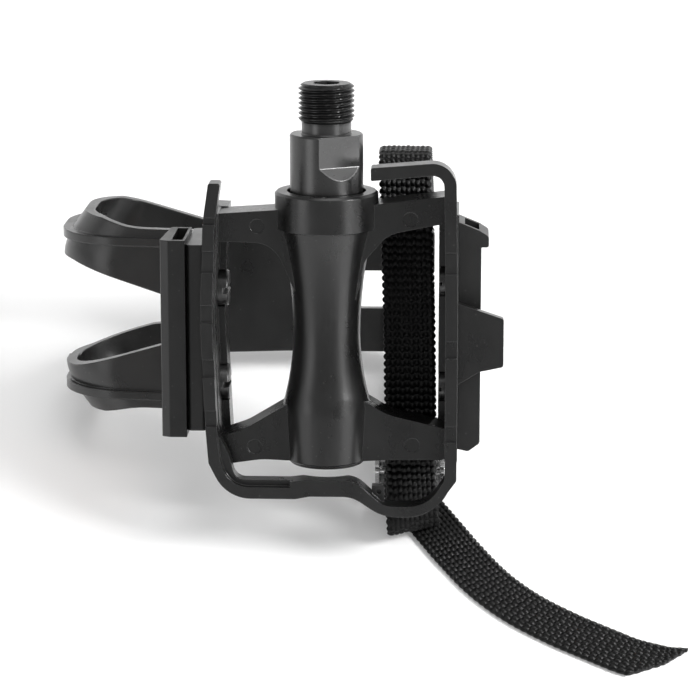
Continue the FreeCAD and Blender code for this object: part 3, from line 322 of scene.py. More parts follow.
# %% Steels
thread_start_m = float(on_floor([[0, 0, thread_low]])[0] @ np.array([0, lean_sin, lean_cos]))
axle_black = turned_black("axle_black", thread_start_m, worn_tone=0.080, oiled_tone=0.040)
bright_steel = worked_steel("bright_steel", (0.55, 0.66), (0.14, 0.24), metallic=1.0,
                            stretch=(1, 1, 1), per_metre=2000.0, relief=0.08)
buckle_steel = worked_steel("buckle_steel", (0.50, 0.62), (0.20, 0.34), metallic=1.0,
                            stretch=(0.15, 1, 1), per_metre=2400.0, relief=0.2)
screw_black = worked_steel("screw_black", (0.06, 0.10), (0.30, 0.44), metallic=0.9,
                           stretch=(1, 1, 1), per_metre=1800.0, relief=0.25)
print("steels:", axle_black.name, bright_steel.name, buckle_steel.name, screw_black.name)

# %% [markdown]
# ## Reflector lens
# A pedal reflector is clear amber resin with rows of tiny corner prisms behind it. The prisms could be
# modelled, but from outside they only read as a fine lattice of bright and dark cells. So a cell pattern
# drives the tilt of the surface and the depth of the colour.

# %% Lens material
lens_amber, lens_tree, lens_shader = new_material("lens_amber")
prism_cells = add_node(lens_tree, "TexVoronoi", {"Vector": object_points(lens_tree), "Scale": 520.0,
                                                 "Randomness": 0.12}).outputs["Distance"]
prism_depth = remap(lens_tree, prism_cells, 0.0, 0.8)
lens_bump = add_node(lens_tree, "Bump", {"Height": prism_cells, "Strength": 0.5, "Distance": 0.0003})
set_inputs(lens_tree, lens_shader, {
    "Base Color": tint(lens_tree, prism_depth, (0.95, 0.38, 0.03), (0.55, 0.13, 0.01)),
    "Normal": lens_bump.outputs["Normal"], "Roughness": 0.12, "Coat Weight": 0.6,
})
print("lens:", lens_amber.name)

# %% [markdown]
# ## Which piece has which finish
# The pieces share a few finishes, so a table by name gives them out, and what it leaves out is a screw, a
# nut or a washer. A finish could go into the mesh, but the frame's meshes stay as they came. So the slot is
# linked to the object instead.

# %% Give the frame's pieces their finishes
finishes = {
    "pedal_body": cage_resin, "toe_clip": clip_resin, "dust_cap": cap_resin,
    "front_reflector_housing": post_resin, "rear_reflector_housing": post_resin,
    "front_reflector_lens": lens_amber, "rear_reflector_lens": lens_amber,
    "inner_bearing_cup": bright_steel, "outer_bearing_cup": bright_steel, "outer_cone": bright_steel,
    "inner_balls": bright_steel, "outer_balls": bright_steel,
    "buckle_frame": buckle_steel, "buckle_pin": buckle_steel, "buckle_cam": buckle_steel,
    "spindle": axle_black,
}
for name, piece in nodes.items():
    finish = finishes.get(name, screw_black)
    for place in piece.material_slots:
        place.link = "OBJECT"
        place.material = finish
    if not piece.material_slots:
        piece.data.materials.append(finish)
print("finished by name:", len(finishes), "as screws:", len(set(nodes) - set(finishes)))

# %% [markdown]
# ## Smooth round surfaces
# The frame's meshes are loose flat triangles. Their round faces look cut with a knife unless neighbouring
# triangles share corners. Weld joins the corners and Edge Split keeps every edge sharper than 25 degrees
# crisp. The same could be done in the mesh itself. As modifiers they leave the measured vertices alone.

# %% Weld and split
weld_distance_m = 1e-6


def crisp_edges(piece, degrees):
    """Edge Split: faces that meet at more than this angle keep a sharp edge between them."""
    piece.modifiers.new("crisp_edges", "EDGE_SPLIT").split_angle = math.radians(degrees)


for piece in nodes.values():
    piece.data.polygons.foreach_set("use_smooth", np.ones(len(piece.data.polygons), bool))
    piece.modifiers.new("weld", "WELD").merge_threshold = weld_distance_m
    crisp_edges(piece, 25)
print("welded and split:", len(nodes))

# %% [markdown]
# ## Grids into meshes
# A surface here is a grid of points: rows follow one parameter and columns the other. Curves and Screw
# modifiers can sweep simple sections, but not one that changes from row to row. One helper turns the grid
# into quads, closes it round the columns and, where asked, caps its first and last row.

# %% Grid helper
def grid_mesh(name, points, uv=None):
    """Rows by columns of points, closed round the columns, as one mesh object; the caps are single faces."""
    rows, columns = points.shape[:2]
    here = np.arange(rows * columns).reshape(rows, columns)
    beside = np.roll(here, -1, axis=1)
    quads = np.stack([here[:-1], beside[:-1], beside[1:], here[1:]], axis=-1).reshape(-1, 4)
    loops = np.concatenate([quads.ravel(), here[0][::-1], here[-1]])
    sizes = np.concatenate([np.full(len(quads), 4), [columns, columns]])
    mesh = bpy.data.meshes.new(name)
    mesh.vertices.add(rows * columns)
    mesh.vertices.foreach_set("co", points.reshape(-1).astype(np.float32))
    mesh.loops.add(len(loops))
    mesh.loops.foreach_set("vertex_index", loops.astype(np.int32))
    mesh.polygons.add(len(sizes))
    mesh.polygons.foreach_set("loop_start", (np.cumsum(sizes) - sizes).astype(np.int32))
    mesh.polygons.foreach_set("use_smooth", np.ones(len(sizes), bool))
    mesh.update(calc_edges=True)
    if uv is not None:
        layer = mesh.uv_layers.new(name="cloth")
        layer.data.foreach_set("uv", uv.reshape(-1, 2)[loops].astype(np.float32).ravel())
    mesh.validate()
    return add_object(name, mesh)


# %% [markdown]
# ## Spindle with a cut thread
# The frame's spindle is plain where the thread is. The real one has a right-hand thread, 20 turns to the
# inch. A helix could be swept and cut out with a Boolean, but such cuts leave slivers. So the whole spindle
# is one surface r(u, angle): a turned profile, where the thread cuts a V groove whose depth depends on
# height minus pitch times angle, and where each wrench flat holds the radius under its distance over the
# cosine of the angle from it. The hexagon socket in the top is the same rule on the way down. It replaces
# the plain spindle and rides on the axle.

# %% Spindle sizes
thread_radius, thread_pitch, thread_depth, thread_rise = 7.145, 1.27, 0.78, 0.9
spindle_top, thread_bevel, thread_bevel_height = 111.2, 1.1, 0.8
neck_radius, neck_fillet = 6.35, 0.3
shoulder_radius, shoulder_top, shoulder_bevel = 9.4, 98.3, 0.4
flat_half, flat_low, runout_height, runout_beyond = 7.5, 90.4, 4.8, 1.0
flat_turn = math.radians(28.0 + 90.0)
runout_low = flat_low - runout_height
socket_radius, socket_floor, socket_bevel, socket_bevel_height = 3.0, 105.2, 0.35, 0.3
drill_tip_radius, drill_tip_depth = 2.2, 0.8
race_radius, race_floor, race_curve, race_bevel = 7.3, 5.2855, 2.0145, 0.15
race_foot_height = 74.6
journal_high, journal_low = (4.9, 72.63), (4.2, 29.57)
end_thread_high, end_thread_low, end_rim = (3.6, 27.58), (3.6, 15.2), (2.9, 14.5)
print("spindle from", end_rim[1], "to", spindle_top, "mm")


# %% Spindle profile
def stations_of(line):
    """Distance from the first point to every point of a line."""
    return np.concatenate([[0], np.cumsum(np.linalg.norm(np.diff(line, axis=0), axis=1))])


def spaced_along(corners, step):
    """Points every step along a broken line, with its corners kept, worked out by interpolation on length."""
    corners = np.asarray(corners, float)
    lengths = stations_of(corners)
    stations = np.unique(np.round(np.concatenate([lengths, np.arange(0, lengths[-1], step)]), 5))
    return np.stack([np.interp(stations, lengths, corners[:, k]) for k in (0, 1)], axis=1)


near_axis, top_gap, rim_gap, row_gap = 0.01, 0.02, 0.05, 0.1
thread_step = 0.09
race_turn = np.radians(np.linspace(90, 180, 12))
race_groove = np.stack([race_radius + race_curve * np.cos(race_turn),
                        race_height + race_curve * np.sin(race_turn)], axis=1)
socket_rows = spaced_along([
    [near_axis, socket_floor - drill_tip_depth], [drill_tip_radius, socket_floor],
    [socket_radius, socket_floor], [socket_radius, spindle_top - socket_bevel_height],
    [socket_radius + socket_bevel, spindle_top], [thread_radius - thread_bevel - rim_gap, spindle_top],
], step=0.5)
thread_heights = np.arange(thread_low, spindle_top - top_gap, thread_step)[::-1]
thread_radii = np.interp(
    thread_heights,
    [thread_low, thread_low + thread_rise, spindle_top - thread_bevel_height, spindle_top],
    [neck_radius, thread_radius, thread_radius, thread_radius - thread_bevel])
thread_rows = np.stack([thread_radii, thread_heights], axis=1)
shoulder_rows = spaced_along([
    [neck_radius, thread_low - row_gap], [neck_radius, shoulder_top + neck_fillet],
    [neck_radius + neck_fillet, shoulder_top], [shoulder_radius - shoulder_bevel, shoulder_top],
    [shoulder_radius, shoulder_top - shoulder_bevel], [shoulder_radius, runout_low],
], step=0.13)
lower_rows = spaced_along([
    [shoulder_radius, runout_low - row_gap], [shoulder_radius, race_height + race_curve + race_bevel],
    [shoulder_radius - race_bevel, race_height + race_curve], *race_groove, [race_floor, race_foot_height],
    journal_high, journal_low, end_thread_high, end_thread_low, end_rim, [near_axis, end_rim[1]],
], step=1.2)
spindle_profile = np.concatenate([socket_rows, thread_rows, shoulder_rows, lower_rows])
print("spindle profile:", len(spindle_profile), "points")

# %% Columns round the spindle
flat_columns, round_columns = 50, 70
half_flat = math.acos(flat_half / shoulder_radius)
first_edge = flat_turn - half_flat
around = np.concatenate([
    first_edge + np.linspace(0, 2 * half_flat, flat_columns, endpoint=False),
    first_edge + 2 * half_flat + np.linspace(0, math.pi - 2 * half_flat, round_columns, endpoint=False),
])
angles = np.concatenate([around, around + math.pi])
radius = np.repeat(spindle_profile[:, :1], len(angles), axis=1)
height = np.repeat(spindle_profile[:, 1:], len(angles), axis=1)
row_number = np.arange(len(spindle_profile))[:, None]
print("columns round the spindle:", len(angles))

# %% Thread groove
groove_fullness, groove_slope, groove_run_in = 1.22, 2.9, 1.3
phase = (height / thread_pitch - angles / (2 * np.pi)) % 1.0
groove = np.clip(groove_fullness - np.abs(phase - 0.5) * groove_slope, 0.0, 1.0)
fade = np.clip((height - thread_low) / groove_run_in, 0.0, 1.0)
threaded = (row_number >= len(socket_rows)) & (row_number < len(socket_rows) + len(thread_rows))
radius = np.where(threaded, np.minimum(radius, thread_radius - thread_depth * groove * fade), radius)
print("threaded rows:", int(threaded.sum()))

# %% Wrench flats
clear_of_race, grazing, no_limit = 4, 0.2, 99.0
runout_slope = (shoulder_radius + runout_beyond - flat_half) / runout_height
reach = flat_half + np.clip(flat_low - height, 0, None) * runout_slope
on_shoulder = (height < shoulder_top + neck_fillet) & (height > race_height + clear_of_race)
for turn_by in (0.0, math.pi):
    facing = np.cos(angles - flat_turn - turn_by)
    limit = np.where(facing > grazing, reach / np.maximum(facing, grazing), no_limit)
    radius = np.where(on_shoulder, np.minimum(radius, limit), radius)
print("flats", 2 * flat_half, "mm apart")

# %% Hexagon socket
hexagon = 1 / np.cos((angles + np.pi / 6) % (np.pi / 3) - np.pi / 6)
socket_wall = ((row_number < len(socket_rows) - 2) & (height > socket_floor - row_gap)
               & (radius > socket_radius - row_gap) & (radius < socket_radius + socket_bevel + rim_gap))
radius = np.where(socket_wall, radius * hexagon, radius)
print("socket", 2 * socket_radius, "mm across its flats")

# %% Spindle mesh
turned_points = np.stack([radius * np.cos(angles), radius * np.sin(angles), height], axis=-1)
axle = grid_mesh("turned_axle", on_floor(turned_points)[::-1])
axle.data.materials.append(axle_black)
crisp_edges(axle, 24)
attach(axle, "axle")
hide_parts("spindle")
print("spindle surface:", turned_points.shape)

# %% [markdown]
# ## The strap's path
# The strap is one length of webbing. From its sewn eye on the buckle's bar it runs to a bend in front of
# the pedal, climbs behind the cross arms, goes over the clip and through its slot, comes back down, through
# the buckle and under its own bend, and ends in a free tail on the floor. A Bezier curve could follow that,
# but its radii can't be read off. So the path is straight runs joined by arcs, and a helper fits an arc of
# the given radius into every corner.

# %% Path helpers
def rounded_path(corners, step):
    """Points along straight runs joined by tangent arcs. Each corner is (point, radius)."""
    spots = np.array([corner[0] for corner in corners], float)
    pieces = [spots[:1]]
    for index in range(1, len(spots) - 1):
        before, corner, after = spots[index - 1:index + 2]
        into = (corner - before) / np.linalg.norm(corner - before)
        out = (after - corner) / np.linalg.norm(after - corner)
        bend = math.acos(np.clip(into @ out, -1, 1))
        size = corners[index][1]
        back = size * math.tan(bend / 2)
        inward = out - into * (into @ out)
        inward = inward / max(np.linalg.norm(inward), 1e-9)
        swing = np.linspace(0, bend, max(4, int(size * bend / step)))[:, None]
        start = corner - into * back
        pieces.append(start + into * size * np.sin(swing) + inward * size * (1 - np.cos(swing)))
    pieces.append(spots[-1:])
    line = np.concatenate(pieces)
    lengths = stations_of(line)
    stations = np.arange(0, lengths[-1], step)
    return np.stack([np.interp(stations, lengths, line[:, k]) for k in range(line.shape[1])], axis=1)


def beside_circle(start, centre, size, side):
    """Unit direction from start that touches the circle on the given side."""
    reach_out = math.hypot(centre[0] - start[0], centre[1] - start[1])
    angle = math.atan2(centre[1] - start[1], centre[0] - start[0]) + side * math.asin(size / reach_out)
    return np.array([math.cos(angle), math.sin(angle)])


# %% Strap and buckle sizes
band_left_x, band_width, band_thickness = 14.4, 13.8, 1.7
band_middle_x = band_left_x + band_width / 2
half_band = band_thickness / 2
tight_gap, layer_gap = 0.15, 0.3
buckle_sheet, buckle_bar_y, buckle_length, bar_radius = 1.2, 20.0, 20.0, 1.1
ride_height = buckle_sheet + tight_gap + half_band
bar_height = ride_height + half_band + layer_gap + band_thickness + bar_radius
behind_arms, knee_height, bend_radius = 6.15, 10.4, 4.0
print("strap", band_width, "by", band_thickness, "mm; the buckle's bar at height", round(bar_height, 2))


# %% From the bar to the knee
def leaned(far, up):
    """Upright (y, z) in millimetres to floor (distance, height), still about the pedal's own place."""
    return np.array([far * lean_cos + up * lean_sin, -far * lean_sin + up * lean_cos + pedal_place[2]])


knee = leaned(behind_arms, knee_height)
bend_centre = leaned(2.9, -2.85)
bar = np.array([buckle_bar_y, bar_height])
leave_bar = beside_circle(bar, bend_centre, bend_radius, 1)
leave_knee = beside_circle(knee, bend_centre, bend_radius, -1)
share = np.linalg.solve(np.array([leave_bar, -leave_knee]).T, knee - bar)
bend_corner = bar + leave_bar * share[0]
over_bar = np.array([leave_bar[1], -leave_bar[0]])
print("the strap bends at", bend_corner.round(1))


# %% Sewn eye round the bar
def by_bar(along_run, off_run):
    """A point by the buckle's bar: along the run that leaves it, and off it on the upper side."""
    return bar + leave_bar * along_run + over_bar * off_run


eye_half, eye_round, seam_half, seam_round = 2.1, 2.05, 0.88, 2.5
sewn_eye = [
    (by_bar(8.6, seam_half), 0), (by_bar(4.6, seam_half), seam_round), (by_bar(1.9, eye_half), seam_round),
    (by_bar(-eye_half, eye_half), eye_round), (by_bar(-eye_half, -eye_half), eye_round),
    (by_bar(1.9, -eye_half), seam_round), (by_bar(4.6, -seam_half), seam_round),
    (by_bar(9.2, -seam_half), 4.0), (by_bar(13.2, 0.0), 4.0),
]
print("the eye has", len(sewn_eye), "corners")

# %% Loop and tail corners
clip_top, clip_wall, clip_mid, plate_half, slot_half = 67.0, 2.8, 44.5, 17.8, 5.4
over = clip_top + clip_wall / 2 + tight_gap + half_band
under = clip_top - clip_wall / 2 - tight_gap - half_band
tail_join_y = 14.5
loop_corners = sewn_eye + [
    (bend_corner, bend_radius), (knee, 12.0), (leaned(behind_arms, 92.0), 6.0), (leaned(20.55, 91.6), 9.0),
    (leaned(over, clip_mid + plate_half + 6.0), 9.0), (leaned(over, clip_mid + slot_half - 0.8), 4.0),
    (leaned(under, clip_mid - slot_half + 0.8), 4.0), (leaned(under, clip_mid - plate_half - 3.0), 6.0),
    (np.array([buckle_bar_y + buckle_length + 9.0, 9.0]), 5.0),
    (np.array([buckle_bar_y + buckle_length + 6.0, ride_height]), 5.0),
    (np.array([buckle_bar_y - 0.5, ride_height]), 10.0), (np.array([16.0, half_band]), 10.0),
    (np.array([tail_join_y, half_band]), 0),
]
tail_corners = [
    (np.array([band_middle_x, 18.0]), 0), (np.array([band_middle_x + 0.2, 15.0]), 10),
    (np.array([33.8, -6.5]), 60), (np.array([45.6, -25.4]), 70), (np.array([62.5, -37.3]), 80),
    (np.array([77.5, -46.3]), 30), (np.array([86.5, -49.3]), 14), (np.array([99.0, -50.2]), 0),
]
cut_point, cut_heading = np.array([86.1, -48.4]), np.array([0.777, 0.629])
print("corners: loop", len(loop_corners), "tail", len(tail_corners))

# %% [markdown]
# ## How the strap hangs
# A strap pulled tight by hand is never quite in line. Here it leans to the left on its way over the top and
# turns as it folds at the bottom, because its tail is led away to the right. A cloth simulation could find
# such a fall, but not the one that is seen. Two curves over the length hold it instead: a sideways drift,
# and a turn of the width about the upright. The drift is a broken line smoothed by a running mean, and the
# turn is one cosine wave about the bend.

# %% Loop, tail and the stations on them
path_step = 0.2
loop = rounded_path(loop_corners, path_step)
tail = rounded_path(tail_corners, path_step)
join = int(np.argmin(np.abs(tail[:, 1] - tail_join_y)))
loop_stations = stations_of(loop)


def passes(point):
    """The station at which the loop passes nearest to a point."""
    return loop_stations[np.argmin(np.linalg.norm(loop - point, axis=1))]


at_bend, at_knee, at_middle = passes(bend_corner), passes(knee), passes(leaned(behind_arms, 45.0))
at_crest, at_clip = passes(leaned(8.0, 91.0)), passes(leaned(over, clip_mid + slot_half))
print("bend at", round(at_bend, 1), "crest at", round(at_crest, 1))


# %% Drift and turn
def smooth_keys(stations, keys, window_mm):
    """A broken line through (station, value) keys, smoothed by a running mean window_mm long."""
    values = np.interp(stations, [key[0] for key in keys], [key[1] for key in keys])
    count = 2 * int(window_mm / (stations[1] - stations[0]) / 2) + 1
    padded = np.pad(values, count // 2, mode="edge")
    return np.convolve(padded, np.ones(count) / count, mode="valid")


drift = smooth_keys(loop_stations, [
    (0, 0), (at_bend - 12, 0.3), (at_bend, 1.6), (at_knee, 0.4), (at_middle, 0.0),
    (at_crest, -1.4), (at_clip, -1.0), (at_clip + 50, 0.0),
], window_mm=8.0)
fold_degrees, fold_reach = 20, 13.0
from_bend = np.clip((loop_stations - at_bend) / fold_reach, -1, 1)
fold_turn = np.radians(fold_degrees) * (0.5 + 0.5 * np.cos(np.pi * from_bend))
print("drift from", round(float(drift.min()), 2), "to", round(float(drift.max()), 2), "mm")

# %% Centre line
weave_pitch = 1.9
row_step = weave_pitch / 4
loop_line = np.column_stack([band_middle_x + drift, loop])
tail_line = np.column_stack([tail[join:], np.full(len(tail) - join, half_band)])
raw_line = np.concatenate([loop_line, tail_line[1:]])
raw_turn = np.concatenate([fold_turn, np.zeros(len(tail_line) - 1)])
raw_stations = stations_of(raw_line)
stations = np.arange(0, raw_stations[-1], row_step)
centre_line = np.stack([np.interp(stations, raw_stations, raw_line[:, k]) for k in range(3)], axis=1)
width_turn = np.interp(stations, raw_stations, raw_turn)
tail_start = raw_stations[len(loop_line) - 1]
print("strap runs", round(stations[-1], 1), "mm; its tail starts at", round(tail_start, 1))

# %% [markdown]
# ## Woven band
# Webbing is thick yarn in plain weave. The weft makes ribs across the strap, and ten warp yarns cut each
# rib into beads, a little out of step and not all of one height. Both edges are scalloped where the weft
# turns back. Every yarn could be a tube of its own, at a hundred times the faces, and a bump alone would
# leave the outline straight. So the band is a surface of two parameters, the station along the strap and
# the place round the section: its face lies at half the thickness, less a valley depth times one minus the
# bead height, and the bead height is a sine along the yarn times a sine across it. The tail's slanted end
# is cut by holding every station under the cut line's own station at that width.

# %% Bead height
bead_columns, yarn_shift, face_half = 10, 0.16, 6.28
bead_width = 2 * face_half / bead_columns
row_fullness, column_fullness = 0.8, 0.6
beside_crest, lowest_bead = 0.45, 0.62


def swell(phase, fullness):
    """A round crest over each whole step of the phase: |sine of pi times the phase| to a power under one."""
    return np.abs(np.sin(np.pi * phase)) ** fullness


def scatter(row, column):
    """A number from 0 to 1 for each bead: the last digits of a large sine of its row and column."""
    return np.sin(row * 12.9898 + column * 78.233) * 43758.5453 % 1.0


def bead_height(along, across):
    """0 in the valleys, 1 on the crests: a swell along the yarn, one across it and each bead's own height."""
    column = across / bead_width + bead_columns / 2
    column_number = np.floor(column + 1e-6)
    row = along / weave_pitch + yarn_shift * (column_number % 2)
    column_part = beside_crest + (1 - beside_crest) * swell(column, column_fullness)
    own_height = lowest_bead + (1 - lowest_bead) * scatter(np.floor(row), column_number)
    return swell(row, row_fullness) * column_part * own_height


# %% Band surface
valley_depth, scallop_low, scallop_high = 0.46, 0.0, 0.62
scallop_shift, scallop_fullness = 0.25, 0.7
columns_per_bead = 4
edge_turns = np.radians([45, 0, -45])
uv_unit_mm = 10


def webbing_band(name, stations, centres, widths, faces, cut_stations):
    """Centre line, width and face directions over the stations, to a closed mesh of woven band."""
    face_columns = np.linspace(-face_half, face_half, columns_per_bead * bead_columns + 1)
    flat, full, turns = np.zeros(len(face_columns)), np.ones(len(face_columns)), len(edge_turns)
    side = np.concatenate([full, np.zeros(turns), -full, np.zeros(turns)])
    across = np.concatenate([face_columns, np.full(turns, face_half),
                             face_columns[::-1], np.full(turns, -face_half)])
    out = np.concatenate([flat, np.cos(edge_turns), flat, -np.cos(edge_turns)])
    rise = np.concatenate([full, np.sin(edge_turns), -full, -np.sin(edge_turns)])
    along = np.minimum(stations[:, None], cut_stations(across)[None, :])
    scallop = swell(along / weave_pitch + scallop_shift, scallop_fullness)
    edge = scallop_low + (scallop_high - scallop_low) * scallop
    bead = np.where(side[None, :] != 0, bead_height(along, across[None, :]), 0.0)
    lift = half_band - valley_depth * (1 - bead)

    def there(field):
        """A direction or place per station, read at the station of every point."""
        return np.stack([np.interp(along, stations, field[:, k]) for k in range(3)], axis=-1)

    points = (there(centres) + there(widths) * (across[None, :] + out[None, :] * edge)[..., None]
              + there(faces) * (rise[None, :] * lift)[..., None])
    uv = np.stack(np.broadcast_arrays(along / uv_unit_mm, across[None, :] / uv_unit_mm), axis=-1)
    return grid_mesh(name, points / 1000, uv)


# %% Which way the band faces
def unit(vectors):
    """Each row of vectors divided by its length."""
    return vectors / np.linalg.norm(vectors, axis=1)[:, None]


headings = unit(np.gradient(centre_line, axis=0))
level = -np.cross(headings, np.array([0.0, 0.0, 1.0]))
on_tail = stations > tail_start
width_way = np.column_stack([np.ones(len(stations)), np.tan(width_turn), np.zeros(len(stations))])
width_way[on_tail] = unit(level[on_tail])
face_way = unit(np.cross(width_way, headings))
print("stations:", len(stations), "on the tail:", int(on_tail.sum()))

# %% Slanted end
from_cut = centre_line[on_tail, :2] - cut_point
off_cut = np.abs(cut_heading[0] * from_cut[:, 1] - cut_heading[1] * from_cut[:, 0])
cut_middle = stations[on_tail][np.argmin(off_cut)]
cut_slope = (cut_heading @ headings[-1, :2]) / (cut_heading @ width_way[-1, :2])
place_on_floor = np.array([pedal_place[0], pedal_place[1], 0.0])
strap = webbing_band("webbing", stations, centre_line + place_on_floor, width_way, face_way,
                     lambda across: cut_middle + cut_slope * across)

# %% Close the cut end
merge_distance_m, shortest_edge_m = 1e-7, 1e-8
knit = bmesh.new()
knit.from_mesh(strap.data)
bmesh.ops.remove_doubles(knit, verts=knit.verts, dist=merge_distance_m)
bmesh.ops.dissolve_degenerate(knit, edges=knit.edges, dist=shortest_edge_m)
knit.to_mesh(strap.data)
open_edges = sum(1 for edge in knit.edges if len(edge.link_faces) != 2)
knit.free()
print("webbing faces", len(strap.data.polygons), "open edges", open_edges)

# %% [markdown]
# ## Webbing material
# The beads are in the mesh. The material repeats their pattern on the strap's own UV map, in centimetres
# along and across, to paint shade into the valleys and to round the crests, and adds the fine filaments of
# the yarn. Where the strap is folded hard in front of the pedal, and where it lies under the pedal's foot, it
# lies in the pedal's shade. A mask along the length paints that shade into those two stretches and roughens
# them.

# %% Bead pattern on the cloth's own coordinates
webbing, web_tree, web_shader = new_material("webbing")
web_uv = add_node(web_tree, "UVMap", uv_map="cloth").outputs["UV"]
web_parts = add_node(web_tree, "SeparateXYZ", {"Vector": web_uv})


def step_of(source, step_mm, shift):
    """A counter of whole yarn steps: centimetres times steps per centimetre, plus a shift."""
    return maths(web_tree, "MULTIPLY_ADD", source, uv_unit_mm / step_mm, shift)


def crest(counter):
    """A round crest over each whole step of the counter: |sine of pi times the counter|."""
    return maths(web_tree, "ABSOLUTE", maths(web_tree, "SINE", maths(web_tree, "MULTIPLY", counter, math.pi)))


yarn_column = step_of(web_parts.outputs["Y"], bead_width, bead_columns / 2)
odd_column = maths(web_tree, "FLOORED_MODULO", maths(web_tree, "FLOOR", yarn_column), 2.0)
column_shift = maths(web_tree, "MULTIPLY", odd_column, yarn_shift)
bead_count = maths(web_tree, "ADD", step_of(web_parts.outputs["X"], weave_pitch, 0.0), column_shift)
bead = maths(web_tree, "MULTIPLY", crest(bead_count), crest(yarn_column))
print("bead pattern:", bead_columns, "columns of", round(bead_width, 3), "by", weave_pitch, "mm")


# %% Where shade is painted on the strap
def stretch_of_strap(rises, falls):
    """1 on one stretch of the strap, 0 elsewhere. It rises between two stations and falls between two."""
    rising = remap(web_tree, web_parts.outputs["X"], *(station / uv_unit_mm for station in rises))
    falling = remap(web_tree, web_parts.outputs["X"], *(station / uv_unit_mm for station in falls), 1.0, 0.0)
    return maths(web_tree, "MULTIPLY", rising, falling)


# Painted shade on two stretches: the fold in front of the pedal and the stretch under its foot.
fold_shade = stretch_of_strap((at_bend - 12, at_bend - 5), (at_bend + 5, at_bend + 14))
foot_shade = stretch_of_strap((tail_start - 40, tail_start - 32), (tail_start + 16, tail_start + 24))
painted_shade_stretches = maths(web_tree, "MAXIMUM", fold_shade, foot_shade)
print("pressed about", round(float(at_bend), 1), "and", round(float(tail_start), 1), "mm")

# %% Webbing tone, relief and gloss
filament_stretch, filament_share, shade_stretch_rough = (9.0, 75.0, 1.0), 0.30, 0.4
# Two of these colours are painted shade: the valleys of the weave, and the fold and the stretch under the
# pedal's foot.
valley_painted_shade, crest_colour, painted_shade_colour = (0.0005, 0.0005, 0.0006), (0.0050, 0.0051, 0.0051), grey(0.0006)
along_yarn = add_node(web_tree, "Mapping", {"Vector": web_uv, "Scale": filament_stretch}).outputs["Vector"]
filaments = noise(web_tree, along_yarn, 1.0, 3.0, 0.6)
web_height = maths(web_tree, "ADD", bead, maths(web_tree, "MULTIPLY", filaments, filament_share))
web_bump = add_node(web_tree, "Bump", {"Height": web_height, "Strength": 0.9, "Distance": 0.0005})
# The valleys get a darker colour than the crests: painted shade in the weave.
bead_tone_with_painted_shade = tint(web_tree, bead, valley_painted_shade, crest_colour)
free_rough = remap(web_tree, filaments, noise_low, noise_high, 0.25, 0.43)
set_inputs(web_tree, web_shader, {
    "Base Color": tint(web_tree, painted_shade_stretches, bead_tone_with_painted_shade, painted_shade_colour),
    "Roughness": maths(web_tree, "MULTIPLY_ADD", painted_shade_stretches, shade_stretch_rough, free_rough, clamp=True),
    "Normal": web_bump.outputs["Normal"], "Specular IOR Level": 0.28,
})
strap.data.materials.append(webbing)
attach(strap, "pedal")
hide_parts("toe_strap")
print("webbing:", webbing.name)

# %% [markdown]
# ## Bar tack
# The strap's end is folded round the buckle's bar and sewn down with two zigzag rows. A curve with a bevel
# would give each row too, but as a mesh the thread stays closed and of few faces. A stitch row is one
# thread: a zigzag path on the band's outer face, with a small circle carried along it.

# %% Thread helper
def thread_along(name, path, thread_radius_mm):
    """A closed tube: a circle in the plane across the path's heading, at every point of the path."""
    headings_here = unit(np.gradient(path, axis=0))
    first = unit(np.cross(headings_here, np.array([0.0, 0.3, 1.0])))
    second = np.cross(headings_here, first)
    turn_round = np.linspace(0, 2 * np.pi, 8, endpoint=False)
    ring = (np.cos(turn_round)[None, :, None] * first[:, None, :]
            + np.sin(turn_round)[None, :, None] * second[:, None, :])
    return grid_mesh(name, (path[:, None, :] + thread_radius_mm * ring) / 1000)


# %% Stitching
stitch_points = np.linspace(0, 1, 181)
zigzag_count, zigzag_width, tack_half, stitch_off, stitch_radius = 6.0, 1.1, 5.4, 1.66, 0.22
zigzag = 2 * np.abs((stitch_points * zigzag_count) % 1.0 - 0.5)
stitch_x = band_middle_x + tack_half * (2 * stitch_points - 1)
for number, along_run in enumerate((4.4, 7.0)):
    for face, off_run in (("upper", stitch_off * 1.02), ("lower", -stitch_off)):
        stitch_yz = np.array([by_bar(along_run + zigzag_width * z, off_run) for z in zigzag])
        path = np.column_stack([stitch_x, stitch_yz]) + place_on_floor
        stitch = thread_along(f"bar_tack_{face}_{number}", path, stitch_radius)
        stitch.data.materials.append(webbing)
        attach(stitch, "pedal")

# %% [markdown]
# ## Floor
# The pedal stands on plain pale paper. A white floor would need more light than the pedal can bear, so the
# paper glows a little: evenly where it is seen straight, in a mirror or through a lens, and more and more
# with the distance until it meets the white behind it. The far glow is for the camera alone, because in the
# steel it would only make noise. Neither glow falls on the pedal or into its shadow.

# %% Floor
floor_half_m, even_glow, far_glow, glow_from_m, glow_to_m = 4, 0.12, 0.75, 0.25, 0.9
corners = [(-floor_half_m, -floor_half_m, 0), (floor_half_m, -floor_half_m, 0),
           (floor_half_m, floor_half_m, 0), (-floor_half_m, floor_half_m, 0)]
floor_data = bpy.data.meshes.new("floor")
floor_data.from_pydata(corners, [], [(0, 1, 2, 3)])
floor = add_object("floor", floor_data)
paper, paper_tree, paper_shader = new_material("paper")
rays = add_node(paper_tree, "LightPath").outputs
seen_or_mirrored = maths(paper_tree, "MAXIMUM", rays["Is Camera Ray"], rays["Is Glossy Ray"])
looked_at = maths(paper_tree, "MAXIMUM", seen_or_mirrored, rays["Is Transmission Ray"])
from_middle = add_node(paper_tree, "VectorMath", {0: object_points(paper_tree)}, operation="LENGTH")
glow_there = remap(paper_tree, from_middle.outputs["Value"], glow_from_m, glow_to_m, 0.0, far_glow)
seen_glow = maths(paper_tree, "MULTIPLY", rays["Is Camera Ray"], glow_there)
